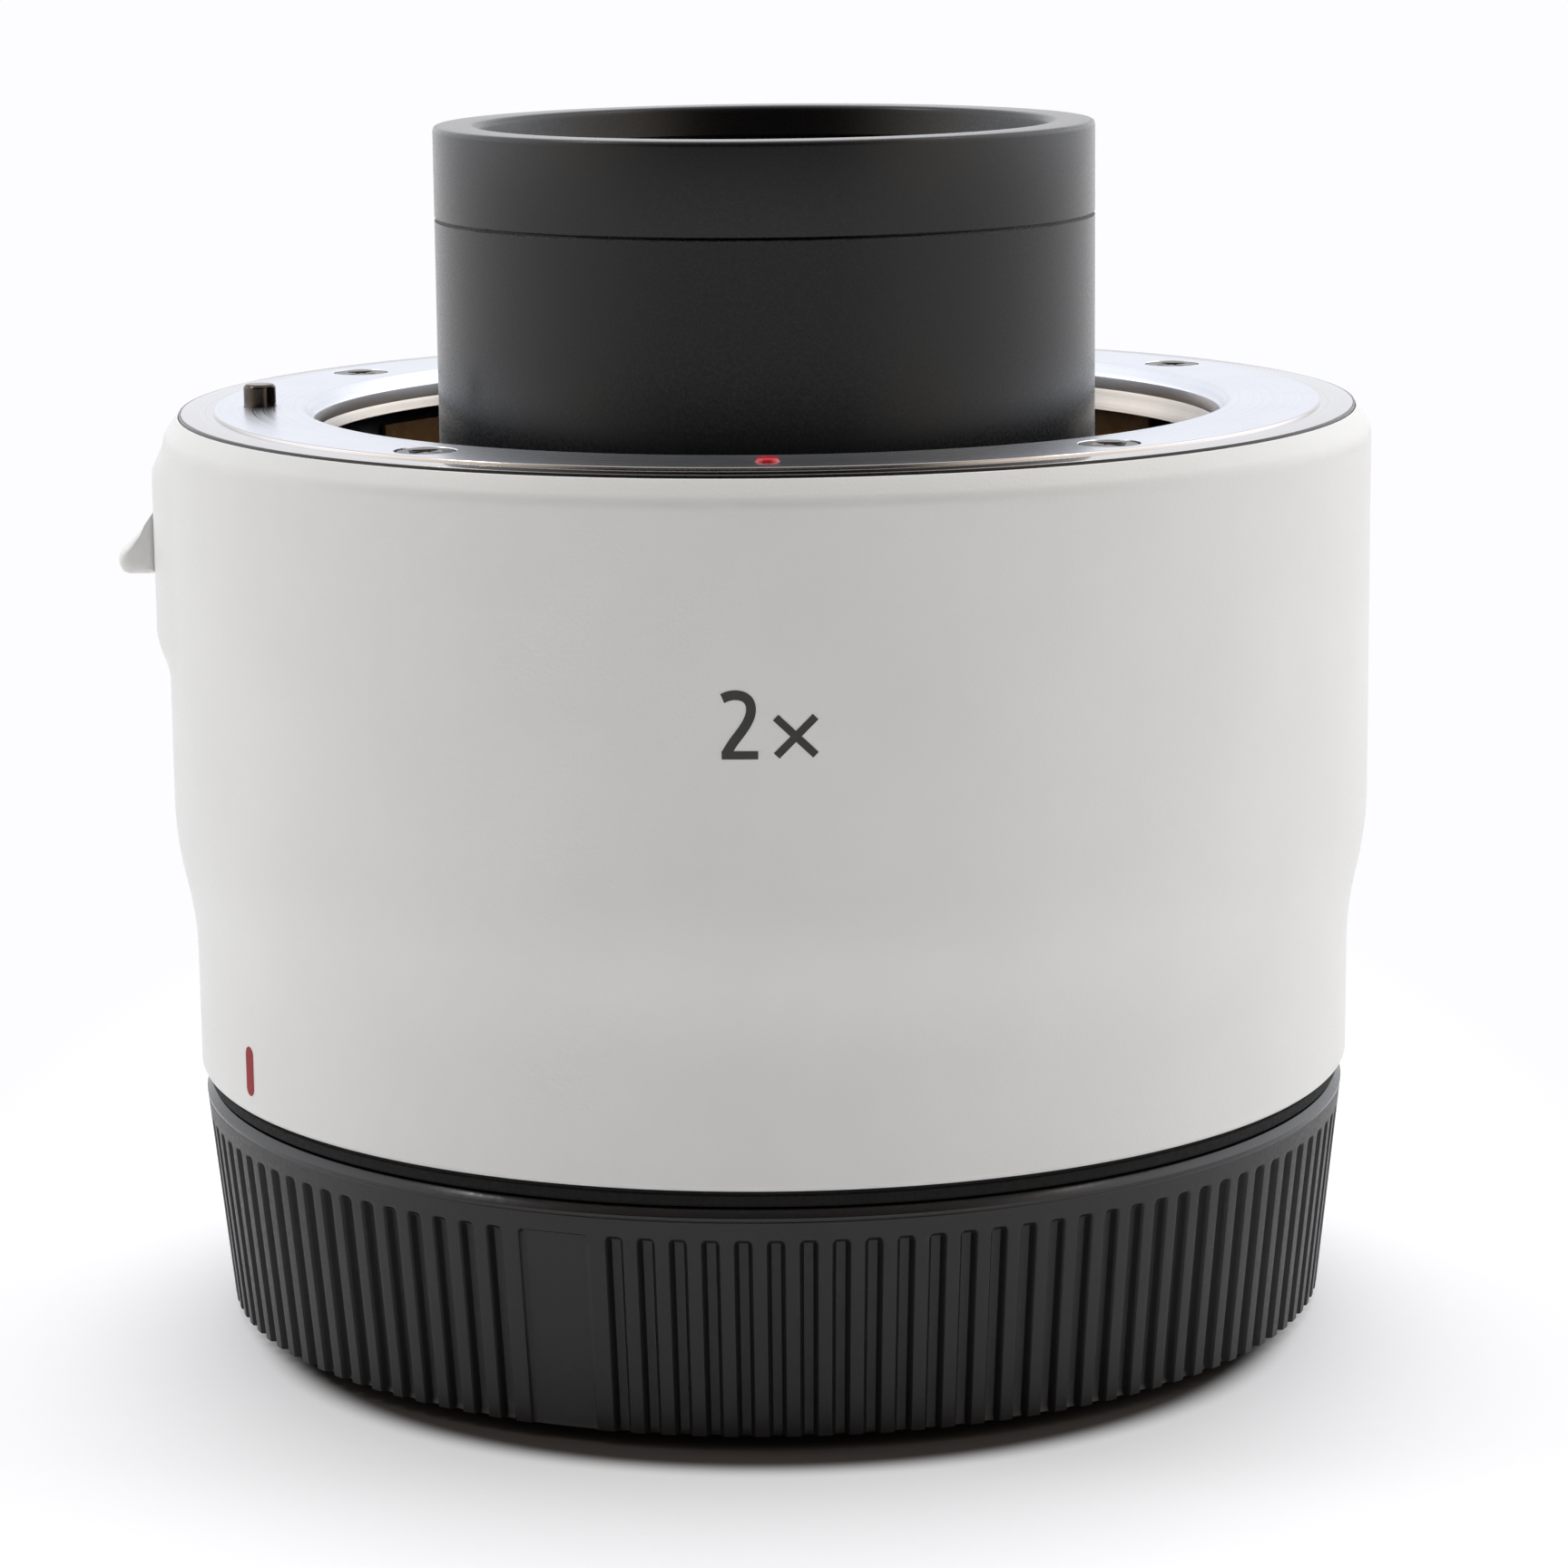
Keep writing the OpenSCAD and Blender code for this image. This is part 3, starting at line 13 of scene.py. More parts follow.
import bmesh
import bpy
import numpy as np
from mathutils import Matrix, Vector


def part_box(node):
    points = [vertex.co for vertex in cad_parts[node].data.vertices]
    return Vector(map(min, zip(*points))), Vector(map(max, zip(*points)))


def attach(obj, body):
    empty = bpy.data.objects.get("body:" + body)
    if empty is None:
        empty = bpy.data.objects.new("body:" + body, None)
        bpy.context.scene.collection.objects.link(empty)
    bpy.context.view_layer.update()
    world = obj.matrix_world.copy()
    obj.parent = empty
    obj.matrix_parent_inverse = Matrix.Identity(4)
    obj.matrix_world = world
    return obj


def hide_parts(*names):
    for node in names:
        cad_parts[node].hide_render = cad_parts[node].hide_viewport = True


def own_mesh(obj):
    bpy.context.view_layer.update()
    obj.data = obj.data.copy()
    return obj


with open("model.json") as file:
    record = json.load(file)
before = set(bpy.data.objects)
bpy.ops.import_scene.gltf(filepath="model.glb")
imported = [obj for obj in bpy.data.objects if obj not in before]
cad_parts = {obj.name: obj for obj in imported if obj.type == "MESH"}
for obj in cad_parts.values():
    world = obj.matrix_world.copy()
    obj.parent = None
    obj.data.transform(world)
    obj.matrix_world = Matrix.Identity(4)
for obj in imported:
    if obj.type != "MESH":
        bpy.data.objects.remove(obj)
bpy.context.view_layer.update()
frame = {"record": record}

LOG = logging.getLogger("teleconverter")
MM = 0.001
TURN = 360.0
WHITE = (1.0, 1.0, 1.0, 1.0)
# Middle part of a noise's range, where nearly all of its values lie
NOISE_BAND = (0.3, 0.7)
# Angle of an edge that stays sharp in a smooth mesh, in degrees
SHARP = 35.0
Socket = bpy.types.NodeSocket
Pair = tuple[float, float]
Triple = tuple[float, float, float]


class Body(Enum):
    """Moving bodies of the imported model."""

    EXTENDER = "extender"
    RELEASE = "release"
    PIN = "pin"
    CONTACTS = "contact_pins"
    CAP = "cap"


class Slot(Enum):
    """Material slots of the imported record."""

    PAINT = "barrel_paint"
    CHROME = "mount_chrome"
    STEEL = "steel"
    ANODISED = "black_anodised"
    PLASTIC = "black_plastic"
    RUBBER = "gasket_rubber"
    GLASS = "coated_glass"
    GOLD = "gold_contact"
    BRONZE = "bronze"
    FILM = "amber_film"
    BOARD = "circuit_board"
    ENAMEL = "index_enamel"


def span(node: str) -> Pair:
    """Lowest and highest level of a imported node, in millimetres."""
    low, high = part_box(node)
    return low[2] / MM, high[2] / MM


def levels_of(node: str) -> Any:
    """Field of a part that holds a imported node's lowest and highest level."""
    return field(default_factory=lambda: span(node))


def linear(code: str) -> tuple[float, float, float, float]:
    """Turns an sRGB hex value into linear light.

    Args:
        code: Six hex digits after a hash.

    Returns:
        Red, green, blue and a full alpha.
    """
    value = np.array([int(code[i:i + 2], 16) for i in (1, 3, 5)]) / 255.0
    light = np.where(value <= 0.04045, value / 12.92, ((value + 0.055) / 1.055) ** 2.4)
    return (*light.tolist(), 1.0)


@dataclass
class Web:
    """Node tree of a material or a world, with a method for each step that several of them take."""

    tree: bpy.types.NodeTree

    @classmethod
    def of(cls, owner: Any) -> "Web":
        """The emptied tree of a material or a world."""
        owner.use_nodes = True
        owner.node_tree.nodes.clear()
        return cls(owner.node_tree)

    def add(self, kind: str, inputs: Optional[dict[Any, Any]] = None, **settings: Any) -> Any:
        """Adds a node with its settings, values and links.

        Args:
            kind: Name of the node type, without the start that all of them share.
            inputs: Input name or index to a value or to the socket that feeds it.
            settings: Attributes of the node.

        Returns:
            The node's outputs.
        """
        made = self.tree.nodes.new("ShaderNode" + kind)
        for key, value in settings.items():
            setattr(made, key, value)
        for key, value in (inputs or {}).items():
            if isinstance(value, Socket):
                self.tree.links.new(value, made.inputs[key])
            else:
                made.inputs[key].default_value = value
        return made.outputs

    def place_at(self) -> Socket:
        """Place of the shaded point on its object."""
        return self.add("TexCoord")["Object"]

    def noise(self, place_at: Socket, size_mm: float, detail: float, rough: float = 0.5) -> Socket:
        """Noise whose features are about a size across."""
        inputs = {"Vector": place_at, "Scale": per_mm(size_mm), "Detail": detail, "Roughness": rough}
        return self.add("TexNoise", inputs)[0]

    def ramp(self, value: Socket, start_end: Pair, low_high: Pair = (0.0, 1.0),
             smooth: bool = False) -> Socket:
        """Rise from one level to another between two values.

        Args:
            value: Socket whose value is followed.
            start_end: Values at which the rise starts and ends.
            low_high: Levels before and after it.
            smooth: Whether the rise is level at both ends.

        Returns:
            Socket of the level.
        """
        inputs = {"Value": value, "From Min": start_end[0], "From Max": start_end[1],
                  "To Min": low_high[0], "To Max": low_high[1]}
        return self.add("MapRange", inputs, interpolation_type="SMOOTHSTEP" if smooth else "LINEAR")[0]

    def blend(self, share: Socket, first: Any, second: Any) -> Socket:
        """Colour between two, by a share."""
        return self.add("Mix", {0: share, 6: first, 7: second}, data_type="RGBA")[2]

    def level(self, share: Socket, first: Any, second: Any) -> Socket:
        """Number between two, by a share."""
        return self.add("Mix", {0: share, 2: first, 3: second})[0]

    def math(self, operation: str, *values: Any) -> Socket:
        """Result of one step of arithmetic on numbers or sockets."""
        return self.add("Math", dict(enumerate(values)), operation=operation)[0]

    def reach(self, place_at: Socket, operation: str, other: Triple) -> Socket:
        """Length of a place's vector after it is multiplied by another or moved by it."""
        moved = self.add("VectorMath", {0: place_at, 1: other}, operation=operation)[0]
        return self.add("VectorMath", {0: moved}, operation="LENGTH")["Value"]

    def bump(self, noise: Socket, height_mm: float) -> Socket:
        """Normal of a surface that a noise raises."""
        return self.add("Bump", {"Strength": 1.0, "Distance": height_mm * MM, "Height": noise})[0]

    def cover(self, inputs: dict[str, Any]) -> None:
        """Ends a material with a surface of these inputs."""
        self.add("OutputMaterial", {"Surface": self.add("BsdfPrincipled", inputs)[0]})


def per_mm(size: float) -> float:
    """Scale of a noise whose features are about size millimetres across."""
    return 1.0 / (size * MM)


def smooth_step(value: np.ndarray) -> np.ndarray:
    """Cubic that runs from 0 to 1 while its argument does, level at both ends."""
    t = np.clip(value, 0.0, 1.0)
    return t * t * (3.0 - 2.0 * t)


def rounded(corners: Sequence[Sequence[float]], steps: int = 4, closed: bool = True) -> np.ndarray:
    """Rounds the corners of a profile.

    Each corner gives way to a quadratic curve that leaves and meets its sides at the corner's reach:
    (1 - t)^2 start + 2 t (1 - t) corner + t^2 end.

    Args:
        corners: Rows of radius, height and reach; a reach of 0 keeps the corner sharp.
        steps: Pieces of each curve.
        closed: Whether the last corner joins the first; open ends stay as they are.

    Returns:
        Rows of radius and height.
    """
    table = np.asarray(corners, float)
    point, reach = table[:, :2], table[:, 2].copy()
    if not closed:
        reach[[0, -1]] = 0.0
    back, ahead = np.roll(point, 1, 0) - point, np.roll(point, -1, 0) - point
    back_len = np.maximum(np.linalg.norm(back, axis=1), 1e-9)
    ahead_len = np.maximum(np.linalg.norm(ahead, axis=1), 1e-9)
    reach = np.minimum(reach, 0.48 * np.minimum(back_len, ahead_len))
    start = point + back * (reach / back_len)[:, None]
    end = point + ahead * (reach / ahead_len)[:, None]
    t = np.linspace(0.0, 1.0, steps + 1)[None, :, None]
    curve = (1 - t) ** 2 * start[:, None] + 2 * t * (1 - t) * point[:, None] + t ** 2 * end[:, None]
    line = curve.reshape(-1, 2)
    step = np.linalg.norm(line - np.roll(line, 1, 0), axis=1)
    if not closed:
        step[0] = 1.0
    return line[step > 1e-5]


def smooth_path(keys: Sequence[Sequence[float]], steps: int = 8) -> np.ndarray:
    """Carries a smooth line through key points.

    Each stretch is the cubic through its two keys whose slopes there are half the step between the keys' neighbours.

    Args:
        keys: Points of any dimension.
        steps: Pieces of each stretch.

    Returns:
        Points of the line, first and last key among them.
    """
    k = np.asarray(keys, float)
    slope = np.gradient(k, axis=0)
    t = np.linspace(0.0, 1.0, steps, endpoint=False)[None, :, None]
    a, b, m, n = k[:-1, None], k[1:, None], slope[:-1, None], slope[1:, None]
    cubic = ((2 * t ** 3 - 3 * t ** 2 + 1) * a + (t ** 3 - 2 * t ** 2 + t) * m
             + (3 * t ** 2 - 2 * t ** 3) * b + (t ** 3 - t ** 2) * n)
    return np.concatenate([cubic.reshape(-1, k.shape[1]), k[-1:]])


def turned(radius: np.ndarray, height: np.ndarray, clock: np.ndarray,
           centre: Pair = (0.0, 0.0)) -> np.ndarray:
    """Points of a surface turned about an upright axis: x = -r sin a, y = -r cos a, z = h.

    Args:
        radius: Radius by row, or by row and column.
        height: Height by row, or by row and column.
        clock: Clock angle of each column, in degrees.
        centre: The axis's place.

    Returns:
        Grid of points, rows by columns by three.
    """
    a = np.radians(np.asarray(clock, float))[None, :]
    r = np.asarray(radius, float)
    z = np.asarray(height, float)
    r = r if r.ndim == 2 else r[:, None]
    z = z if z.ndim == 2 else z[:, None]
    return np.stack(np.broadcast_arrays(centre[0] - r * np.sin(a), centre[1] - r * np.cos(a), z + 0.0 * a), -1)


def wrapped(across: np.ndarray, height: np.ndarray, radius: np.ndarray, clock: float) -> np.ndarray:
    """Points of a flat drawing laid round a barrel: its width becomes arc length, to the right seen from outside."""
    a = np.radians(clock) - across / radius
    return np.stack([-radius * np.sin(a), -radius * np.cos(a), height], -1)


def full_turn(columns: int) -> np.ndarray:
    """Even clock angles once round."""
    return np.linspace(0.0, TURN, columns, endpoint=False)


@dataclass
class Shell:
    """A closed surface: points in millimetres with its quads and triangles."""

    points: np.ndarray
    quads: np.ndarray
    tris: np.ndarray

    @classmethod
    def grid(cls, points: np.ndarray, ring: bool) -> "Shell":
        """Closes a grid whose columns run round.

        Args:
            points: Rows by columns by three.
            ring: Whether the last row joins the first; otherwise each end row is closed by a fan to its middle.

        Returns:
            The shell, its faces pointing outwards.
        """
        rows, columns = points.shape[:2]
        flat = points.reshape(-1, 3)
        i, j = np.meshgrid(np.arange(rows if ring else rows - 1), np.arange(columns), indexing="ij")
        i_next, j_next = (i + 1) % rows, (j + 1) % columns
        quads = np.stack([i * columns + j, i * columns + j_next, i_next * columns + j_next,
                          i_next * columns + j], -1).reshape(-1, 4)
        tris = np.zeros((0, 3), int)
        if not ring:
            middles = np.stack([points[0].mean(0), points[-1].mean(0)])
            flat = np.concatenate([flat, middles])
            j = np.arange(columns)
            j_next = (j + 1) % columns
            last = (rows - 1) * columns
            first_fan = np.stack([np.full(columns, rows * columns), j_next, j], -1)
            last_fan = np.stack([np.full(columns, rows * columns + 1), last + j, last + j_next], -1)
            tris = np.concatenate([first_fan, last_fan])
        shell = cls(flat, quads, tris)
        return shell if shell.volume() > 0 else cls(flat, quads[:, ::-1], tris[:, ::-1])

    def volume(self) -> float:
        """Signed volume: a sixth of the sum of each triangle's triple product."""
        halves = np.concatenate([self.quads[:, [0, 1, 2]], self.quads[:, [0, 2, 3]], self.tris])
        a, b, c = (self.points[halves[:, k]] for k in range(3))
        return float(np.einsum("ij,ij->i", a, np.cross(b, c)).sum() / 6.0)


def lathe(profile: np.ndarray, columns: int = 360, ring: bool = True,
          centre: Pair = (0.0, 0.0)) -> Shell:
    """Turns a profile once round: a ring's profile is closed, a solid's starts and ends near the axis."""
    return Shell.grid(turned(profile[:, 0], profile[:, 1], full_turn(columns), centre), ring)


def arc(loop: np.ndarray, clock: np.ndarray) -> Shell:
    """Carries a closed loop of radius and height along an arc, its ends closed."""
    return Shell.grid(turned(loop[:, 0], loop[:, 1], clock).transpose(1, 0, 2), False)


def mesh_of(name: str, shells: Sequence[Shell], sharp: float = SHARP) -> bpy.types.Mesh:
    """Puts shells into one mesh, smooth but for edges that turn more than an angle.

    Args:
        name: Mesh name.
        shells: Closed surfaces in millimetres.
        sharp: Angle of a sharp edge, in degrees.

    Returns:
        The mesh, in metres.
    """
    offsets = np.cumsum([0] + [len(s.points) for s in shells[:-1]])
    points = np.concatenate([s.points for s in shells]) * MM
    quads = np.concatenate([s.quads + o for s, o in zip(shells, offsets)])
    tris = np.concatenate([s.tris + o for s, o in zip(shells, offsets)])
    corners = np.concatenate([quads.ravel(), tris.ravel()]).astype(np.int32)
    starts = np.concatenate([np.arange(len(quads)) * 4, len(quads) * 4 + np.arange(len(tris)) * 3])
    mesh = bpy.data.meshes.new(name)
    mesh.vertices.add(len(points))
    mesh.vertices.foreach_set("co", points.astype(np.float32).ravel())
    mesh.loops.add(len(corners))
    mesh.loops.foreach_set("vertex_index", corners)
    mesh.polygons.add(len(starts))
    mesh.polygons.foreach_set("loop_start", starts.astype(np.int32))
    mesh.polygons.foreach_set("use_smooth", np.ones(len(starts), bool))
    mesh.update(calc_edges=True)
    mesh.validate()
    mesh.set_sharp_from_angle(angle=np.radians(sharp))
    return mesh


def place(name: str, mesh: bpy.types.Mesh, finish: bpy.types.Material, body: Body,
          stands_for: Sequence[str] = ()) -> bpy.types.Object:
    """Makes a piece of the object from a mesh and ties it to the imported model.

    Args:
        name: Name of the piece.
        mesh: Its mesh, already in place.
        finish: Its material.
        body: The body that it moves with.
        stands_for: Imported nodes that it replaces.

    Returns:
        The piece.
    """
    piece = bpy.data.objects.new(name, mesh)
    bpy.context.scene.collection.objects.link(piece)
    mesh.materials.clear()
    mesh.materials.append(finish)
    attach(piece, body.value)
    if stands_for:
        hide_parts(*stands_for)
    LOG.info("%s: %d faces, rides on %s", name, len(mesh.polygons), body.value)
    return piece


def drilled(mesh: bpy.types.Mesh, drills: Sequence[Shell], sharp: float = 30.0) -> bpy.types.Mesh:
    """Cuts holes into a mesh.

    Args:
        mesh: The closed mesh.
        drills: Closed shells that are taken away; they don't touch one another.
        sharp: Angle of a sharp edge in the result, in degrees.

    Returns:
        A new mesh.
    """
    scene = bpy.context.scene
    blank = bpy.data.objects.new("blank", mesh)
    tool = bpy.data.objects.new("tool", mesh_of("tool", drills))
    scene.collection.objects.link(blank)
    scene.collection.objects.link(tool)
    cut = blank.modifiers.new("cut", "BOOLEAN")
    cut.operation, cut.solver, cut.object = "DIFFERENCE", "EXACT", tool
    graph = bpy.context.evaluated_depsgraph_get()
    result = bpy.data.meshes.new_from_object(blank.evaluated_get(graph))
    for spare in (blank, tool):
        spare_mesh = spare.data
        bpy.data.objects.remove(spare)
        bpy.data.meshes.remove(spare_mesh)
    result.polygons.foreach_set("use_smooth", np.ones(len(result.polygons), bool))
    result.set_sharp_from_angle(angle=np.radians(sharp))
    return result


@dataclass(frozen=True)
class Grained:
    """A dull or satin finish: two near colours in soft patches, a fine grain that raises the surface and varies its
    roughness, a sleeker band that may lie above a height, and a sheen at grazing angles."""

    name: str
    light: str
    dark: str
    roughness: float
    patch_mm: float = 6.0
    grain_mm: float = 0.3
    grain_height_mm: float = 0.004
    spread: float = 0.06
    ior: float = 1.5
    metallic: float = 0.0
    sleek_from_mm: float = 1000.0
    sleek_roughness: float = 0.2
    sheen: float = 0.0
    sheen_roughness: float = 0.3
    sleek_edge_mm: float = 0.05

    def make(self) -> bpy.types.Material:
        """Builds the material: patches mix the colours, grain feeds bump and roughness."""
        material = bpy.data.materials.new(self.name)
        web = Web.of(material)
        place_at = web.place_at()
        patch = web.noise(place_at, self.patch_mm, 3.0, 0.55)
        grain = web.noise(place_at, self.grain_mm, 2.0, 0.6)
        colour = web.blend(web.ramp(patch, NOISE_BAND), linear(self.light), linear(self.dark))
        gloss = web.ramp(grain, NOISE_BAND, (self.roughness - self.spread, self.roughness + self.spread))
        height = web.add("SeparateXYZ", {0: place_at})["Z"]
        sleek = web.ramp(height, (self.sleek_from_mm * MM, (self.sleek_from_mm + self.sleek_edge_mm) * MM),
                         (0.0, self.sleek_roughness - self.roughness))
        web.cover({"Base Color": colour, "Roughness": web.math("ADD", gloss, sleek), "Metallic": self.metallic,
                   "IOR": self.ior, "Sheen Weight": self.sheen, "Sheen Roughness": self.sheen_roughness,
                   "Normal": web.bump(grain, self.grain_height_mm)})
        return material


@dataclass(frozen=True)
class TurnedMetal:
    """A metal cut on a lathe: fine rings about the optical axis raise the surface and vary its gloss, and a second,
    duller band may lie outside a radius."""

    name: str
    light: str
    dark: str
    roughness: float
    pitch_mm: float = 0.16
    ring_height_mm: float = 0.0006
    spread: float = 0.05
    dull_from_mm: float = 1000.0
    dull_roughness: float = 0.4
    dull_colour: str = "#C8C4C2"
    dull_edge_mm: float = 0.02
    cloud_mm: float = 5.0

    def make(self) -> bpy.types.Material:
        """Builds the material: the distance from the axis feeds the rings, and a slow noise clouds the colour."""
        material = bpy.data.materials.new(self.name)
        web = Web.of(material)
        place_at = web.place_at()
        radius = web.reach(place_at, "MULTIPLY", (1.0, 1.0, 0.0))
        rings = web.add("TexNoise", {"W": radius, "Scale": per_mm(self.pitch_mm), "Detail": 2.0},
                        noise_dimensions="1D")[0]
        cloud = web.noise(place_at, self.cloud_mm, 3.0)
        colour = web.blend(web.ramp(cloud, NOISE_BAND), linear(self.light), linear(self.dark))
        gloss = web.ramp(rings, NOISE_BAND, (self.roughness - self.spread, self.roughness + self.spread))
        dull = web.ramp(radius, (self.dull_from_mm * MM, (self.dull_from_mm + self.dull_edge_mm) * MM))
        web.cover({"Base Color": web.blend(dull, colour, linear(self.dull_colour)), "Metallic": 1.0,
                   "Roughness": web.math("MULTIPLY_ADD", dull, self.dull_roughness - self.roughness, gloss),
                   "Normal": web.bump(rings, self.ring_height_mm)})
        return material


@dataclass(frozen=True)
class CoatedGlass:
    """Polished optical glass under a thin coating that tints its reflections, with a breath of haze."""

    name: str
    tint: str
    film_nm: float
    ior: float = 1.6
    film_ior: float = 1.38
    haze_mm: float = 4.0
    haze_band: Pair = (0.4, 0.8)
    haze_roughness: float = 0.03

    def make(self) -> bpy.types.Material:
        """Builds the material: full transmission, a thin film, and a slow noise in the roughness for the haze."""
        material = bpy.data.materials.new(self.name)
        web = Web.of(material)
        haze = web.noise(web.place_at(), self.haze_mm, 4.0)
        web.cover({"Base Color": linear(self.tint), "IOR": self.ior, "Transmission Weight": 1.0,
                   "Roughness": web.ramp(haze, self.haze_band, (0.0, self.haze_roughness)),
                   "Thin Film Thickness": self.film_nm, "Thin Film IOR": self.film_ior})
        return material


# Stove-enamelled aluminium: a warm off-white whose sprayed grain breaks up the light into a soft sparkle. The real
# grain of about 0.1 mm is drawn at 0.22 mm so that it shows.
BARREL_PAINT = Grained("stoved_offwhite_enamel", "#D9D9D7", "#D6D6D4", 0.42, 9.0, 0.22, 0.012, 0.07, 1.5)
# Satin-chromed brass: turned rings, bright and slightly blue, and a duller blasted step outside the raised face.
MOUNT_CHROME = TurnedMetal("satin_chromed_brass", "#E9EBF0", "#E4E6EC", 0.3, 0.16, 0.0003, 0.05, 32.5, 0.12)
# Satin brass of the claws, warmer and greyer than the ring above them: a painted warm reflection and painted shade of
# the dim throat.
CLAW_METAL_PAINTED_WARM = TurnedMetal("claw_metal_painted_warm_grey", "#C2BAB0", "#B8B0A6", 0.26, 0.16, 0.0006, 0.05)
# Machined stainless steel: grey, with softer reflections than the chrome.
STEEL = TurnedMetal("machined_stainless_steel", "#B4B3B1", "#A8A7A6", 0.3, 0.12, 0.0008, 0.08)
# Ground steel of the lock pin, its colour darkened as painted shade for the dark reflection of the nose, so that it
# stays dark but for its edges.
PIN_STEEL_PAINTED_DARK = Grained("ground_steel_painted_dark", "#5C544E", "#4A443F", 0.2, 1.2, 0.15, 0.0006, 0.05, 1.5, 1.0)
# Steel of the ring's screws, darker and rougher; the darker colour is painted shade, so that their wells look deep.
SCREW_STEEL_PAINTED_DARK = TurnedMetal("screw_steel_painted_dark", "#77736E", "#6A6661", 0.35, 0.12, 0.0008, 0.08)
# Bead-blasted black anodised aluminium: a charcoal grey with a fine dry grain. The blast's 0.08 mm pits are drawn
# at 0.2 mm so that they show.
ANODISED = Grained("bead_blasted_black_anodised_aluminium", "#242425", "#1E1E20", 0.46, 4.0, 0.2, 0.004, 0.07, 1.5)
# The same metal on the nose, closer blasted: a deep black tube that shines at grazing angles, and a slightly lighter,
# warmer ring in front of it.
NOSE_TUBE = Grained("fine_blasted_black_anodised_aluminium", "#09090C", "#07070A", 0.28, 4.0, 0.2, 0.0015, 0.05,
                    1.42, sheen=0.35)
NOSE_RING = Grained("fine_blasted_charcoal_anodised_aluminium", "#121113", "#0E0D0F", 0.3, 4.0, 0.2, 0.0015, 0.05,
                    1.43, sheen=0.5)
# Black flocked look of the painted inner walls: nearly no gloss.
INNER_BLACK = Grained("matt_black_baffle_paint", "#121212", "#0D0D0E", 0.75, 3.0, 0.25, 0.006, 0.08, 1.45)
# Injection-moulded ABS of the cap: spark-eroded satin texture of 0.3 mm, sleek on the top bevel, where it catches
# the light.
CAP_ABS = Grained("satin_moulded_black_abs", "#1B191A", "#171516", 0.42, 7.0, 0.3, 0.004, 0.06, 1.44,
                  sleek_from_mm=13.3, sleek_roughness=0.2)
# Moulded black polycarbonate of the inner parts.
INNER_PLASTIC = Grained("moulded_black_polycarbonate", "#1B1B1C", "#161617", 0.5, 5.0, 0.3, 0.005, 0.07, 1.58)
# Moulded rubber: deep black, dusty and dull.
RUBBER = Grained("moulded_black_rubber", "#090909", "#0D0C0C", 0.75, 3.0, 0.25, 0.006, 0.08, 1.33)
# Gold-plated brass pins: warm and bright.
GOLD = TurnedMetal("gold_plated_brass", "#E6C27A", "#D9B268", 0.2, 0.12, 0.0004, 0.05)
# Turned bronze bush, brown and a little dull.
BRONZE = TurnedMetal("turned_bronze", "#A9875A", "#97764B", 0.34, 0.14, 0.0008, 0.08)
# Polyimide film: clear amber with a gloss, darker where copper tracks lie under it.
AMBER_FILM = Grained("polyimide_film", "#C8955C", "#A9763F", 0.24, 1.6, 0.4, 0.001, 0.05, 1.7)
# Solder-masked glass-fibre board: green, with the weave's faint lumps.
BOARD = Grained("solder_masked_glass_fibre", "#1E5A33", "#174A2A", 0.35, 2.0, 0.45, 0.006, 0.06, 1.55)
# Red index enamel: glossy, filled by hand.
RED_ENAMEL = Grained("red_index_enamel", "#C3202C", "#B01A27", 0.28, 0.8, 0.3, 0.002, 0.05, 1.5)
# Screen-printed red ink of the camera-side index line, flatter and duller than the enamel.
RED_INK = Grained("red_screen_ink", "#94101C", "#880C18", 0.42, 0.8, 0.2, 0.003, 0.06, 1.25)
# Screen-printed dark grey ink of the figure.
GREY_INK = Grained("dark_grey_screen_ink", "#302F2E", "#2A2928", 0.5, 0.8, 0.2, 0.003, 0.06, 1.5)
# Coated optical glass: clear, with a faint blue-violet bloom in its reflections.
FRONT_GLASS = CoatedGlass("coated_optical_glass", "#F4FBF8", 125.0)


@dataclass
class FinishBook:
    """Every material of the object, made once."""

    made: dict[str, bpy.types.Material] = field(default_factory=dict)

    def of(self, finish: Any) -> bpy.types.Material:
        """The material of a finish, made at its first use."""
        if finish.name not in self.made:
            self.made[finish.name] = finish.make()
        return self.made[finish.name]

    def dress(self, name: str, shells: Sequence[Shell], finish: Any, stands_for: Sequence[str] = (),
              body: Body = Body.EXTENDER, sharp: float = SHARP) -> None:
        """Makes a piece from shells, in its finish.

        Args:
            name: Name of the piece.
            shells: Its closed surfaces.
            finish: Its finish.
            stands_for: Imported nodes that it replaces.
            body: The body that it moves with.
            sharp: Angle of a sharp edge, in degrees.
        """
        place(name, mesh_of(name, shells, sharp), self.of(finish), body, stands_for)


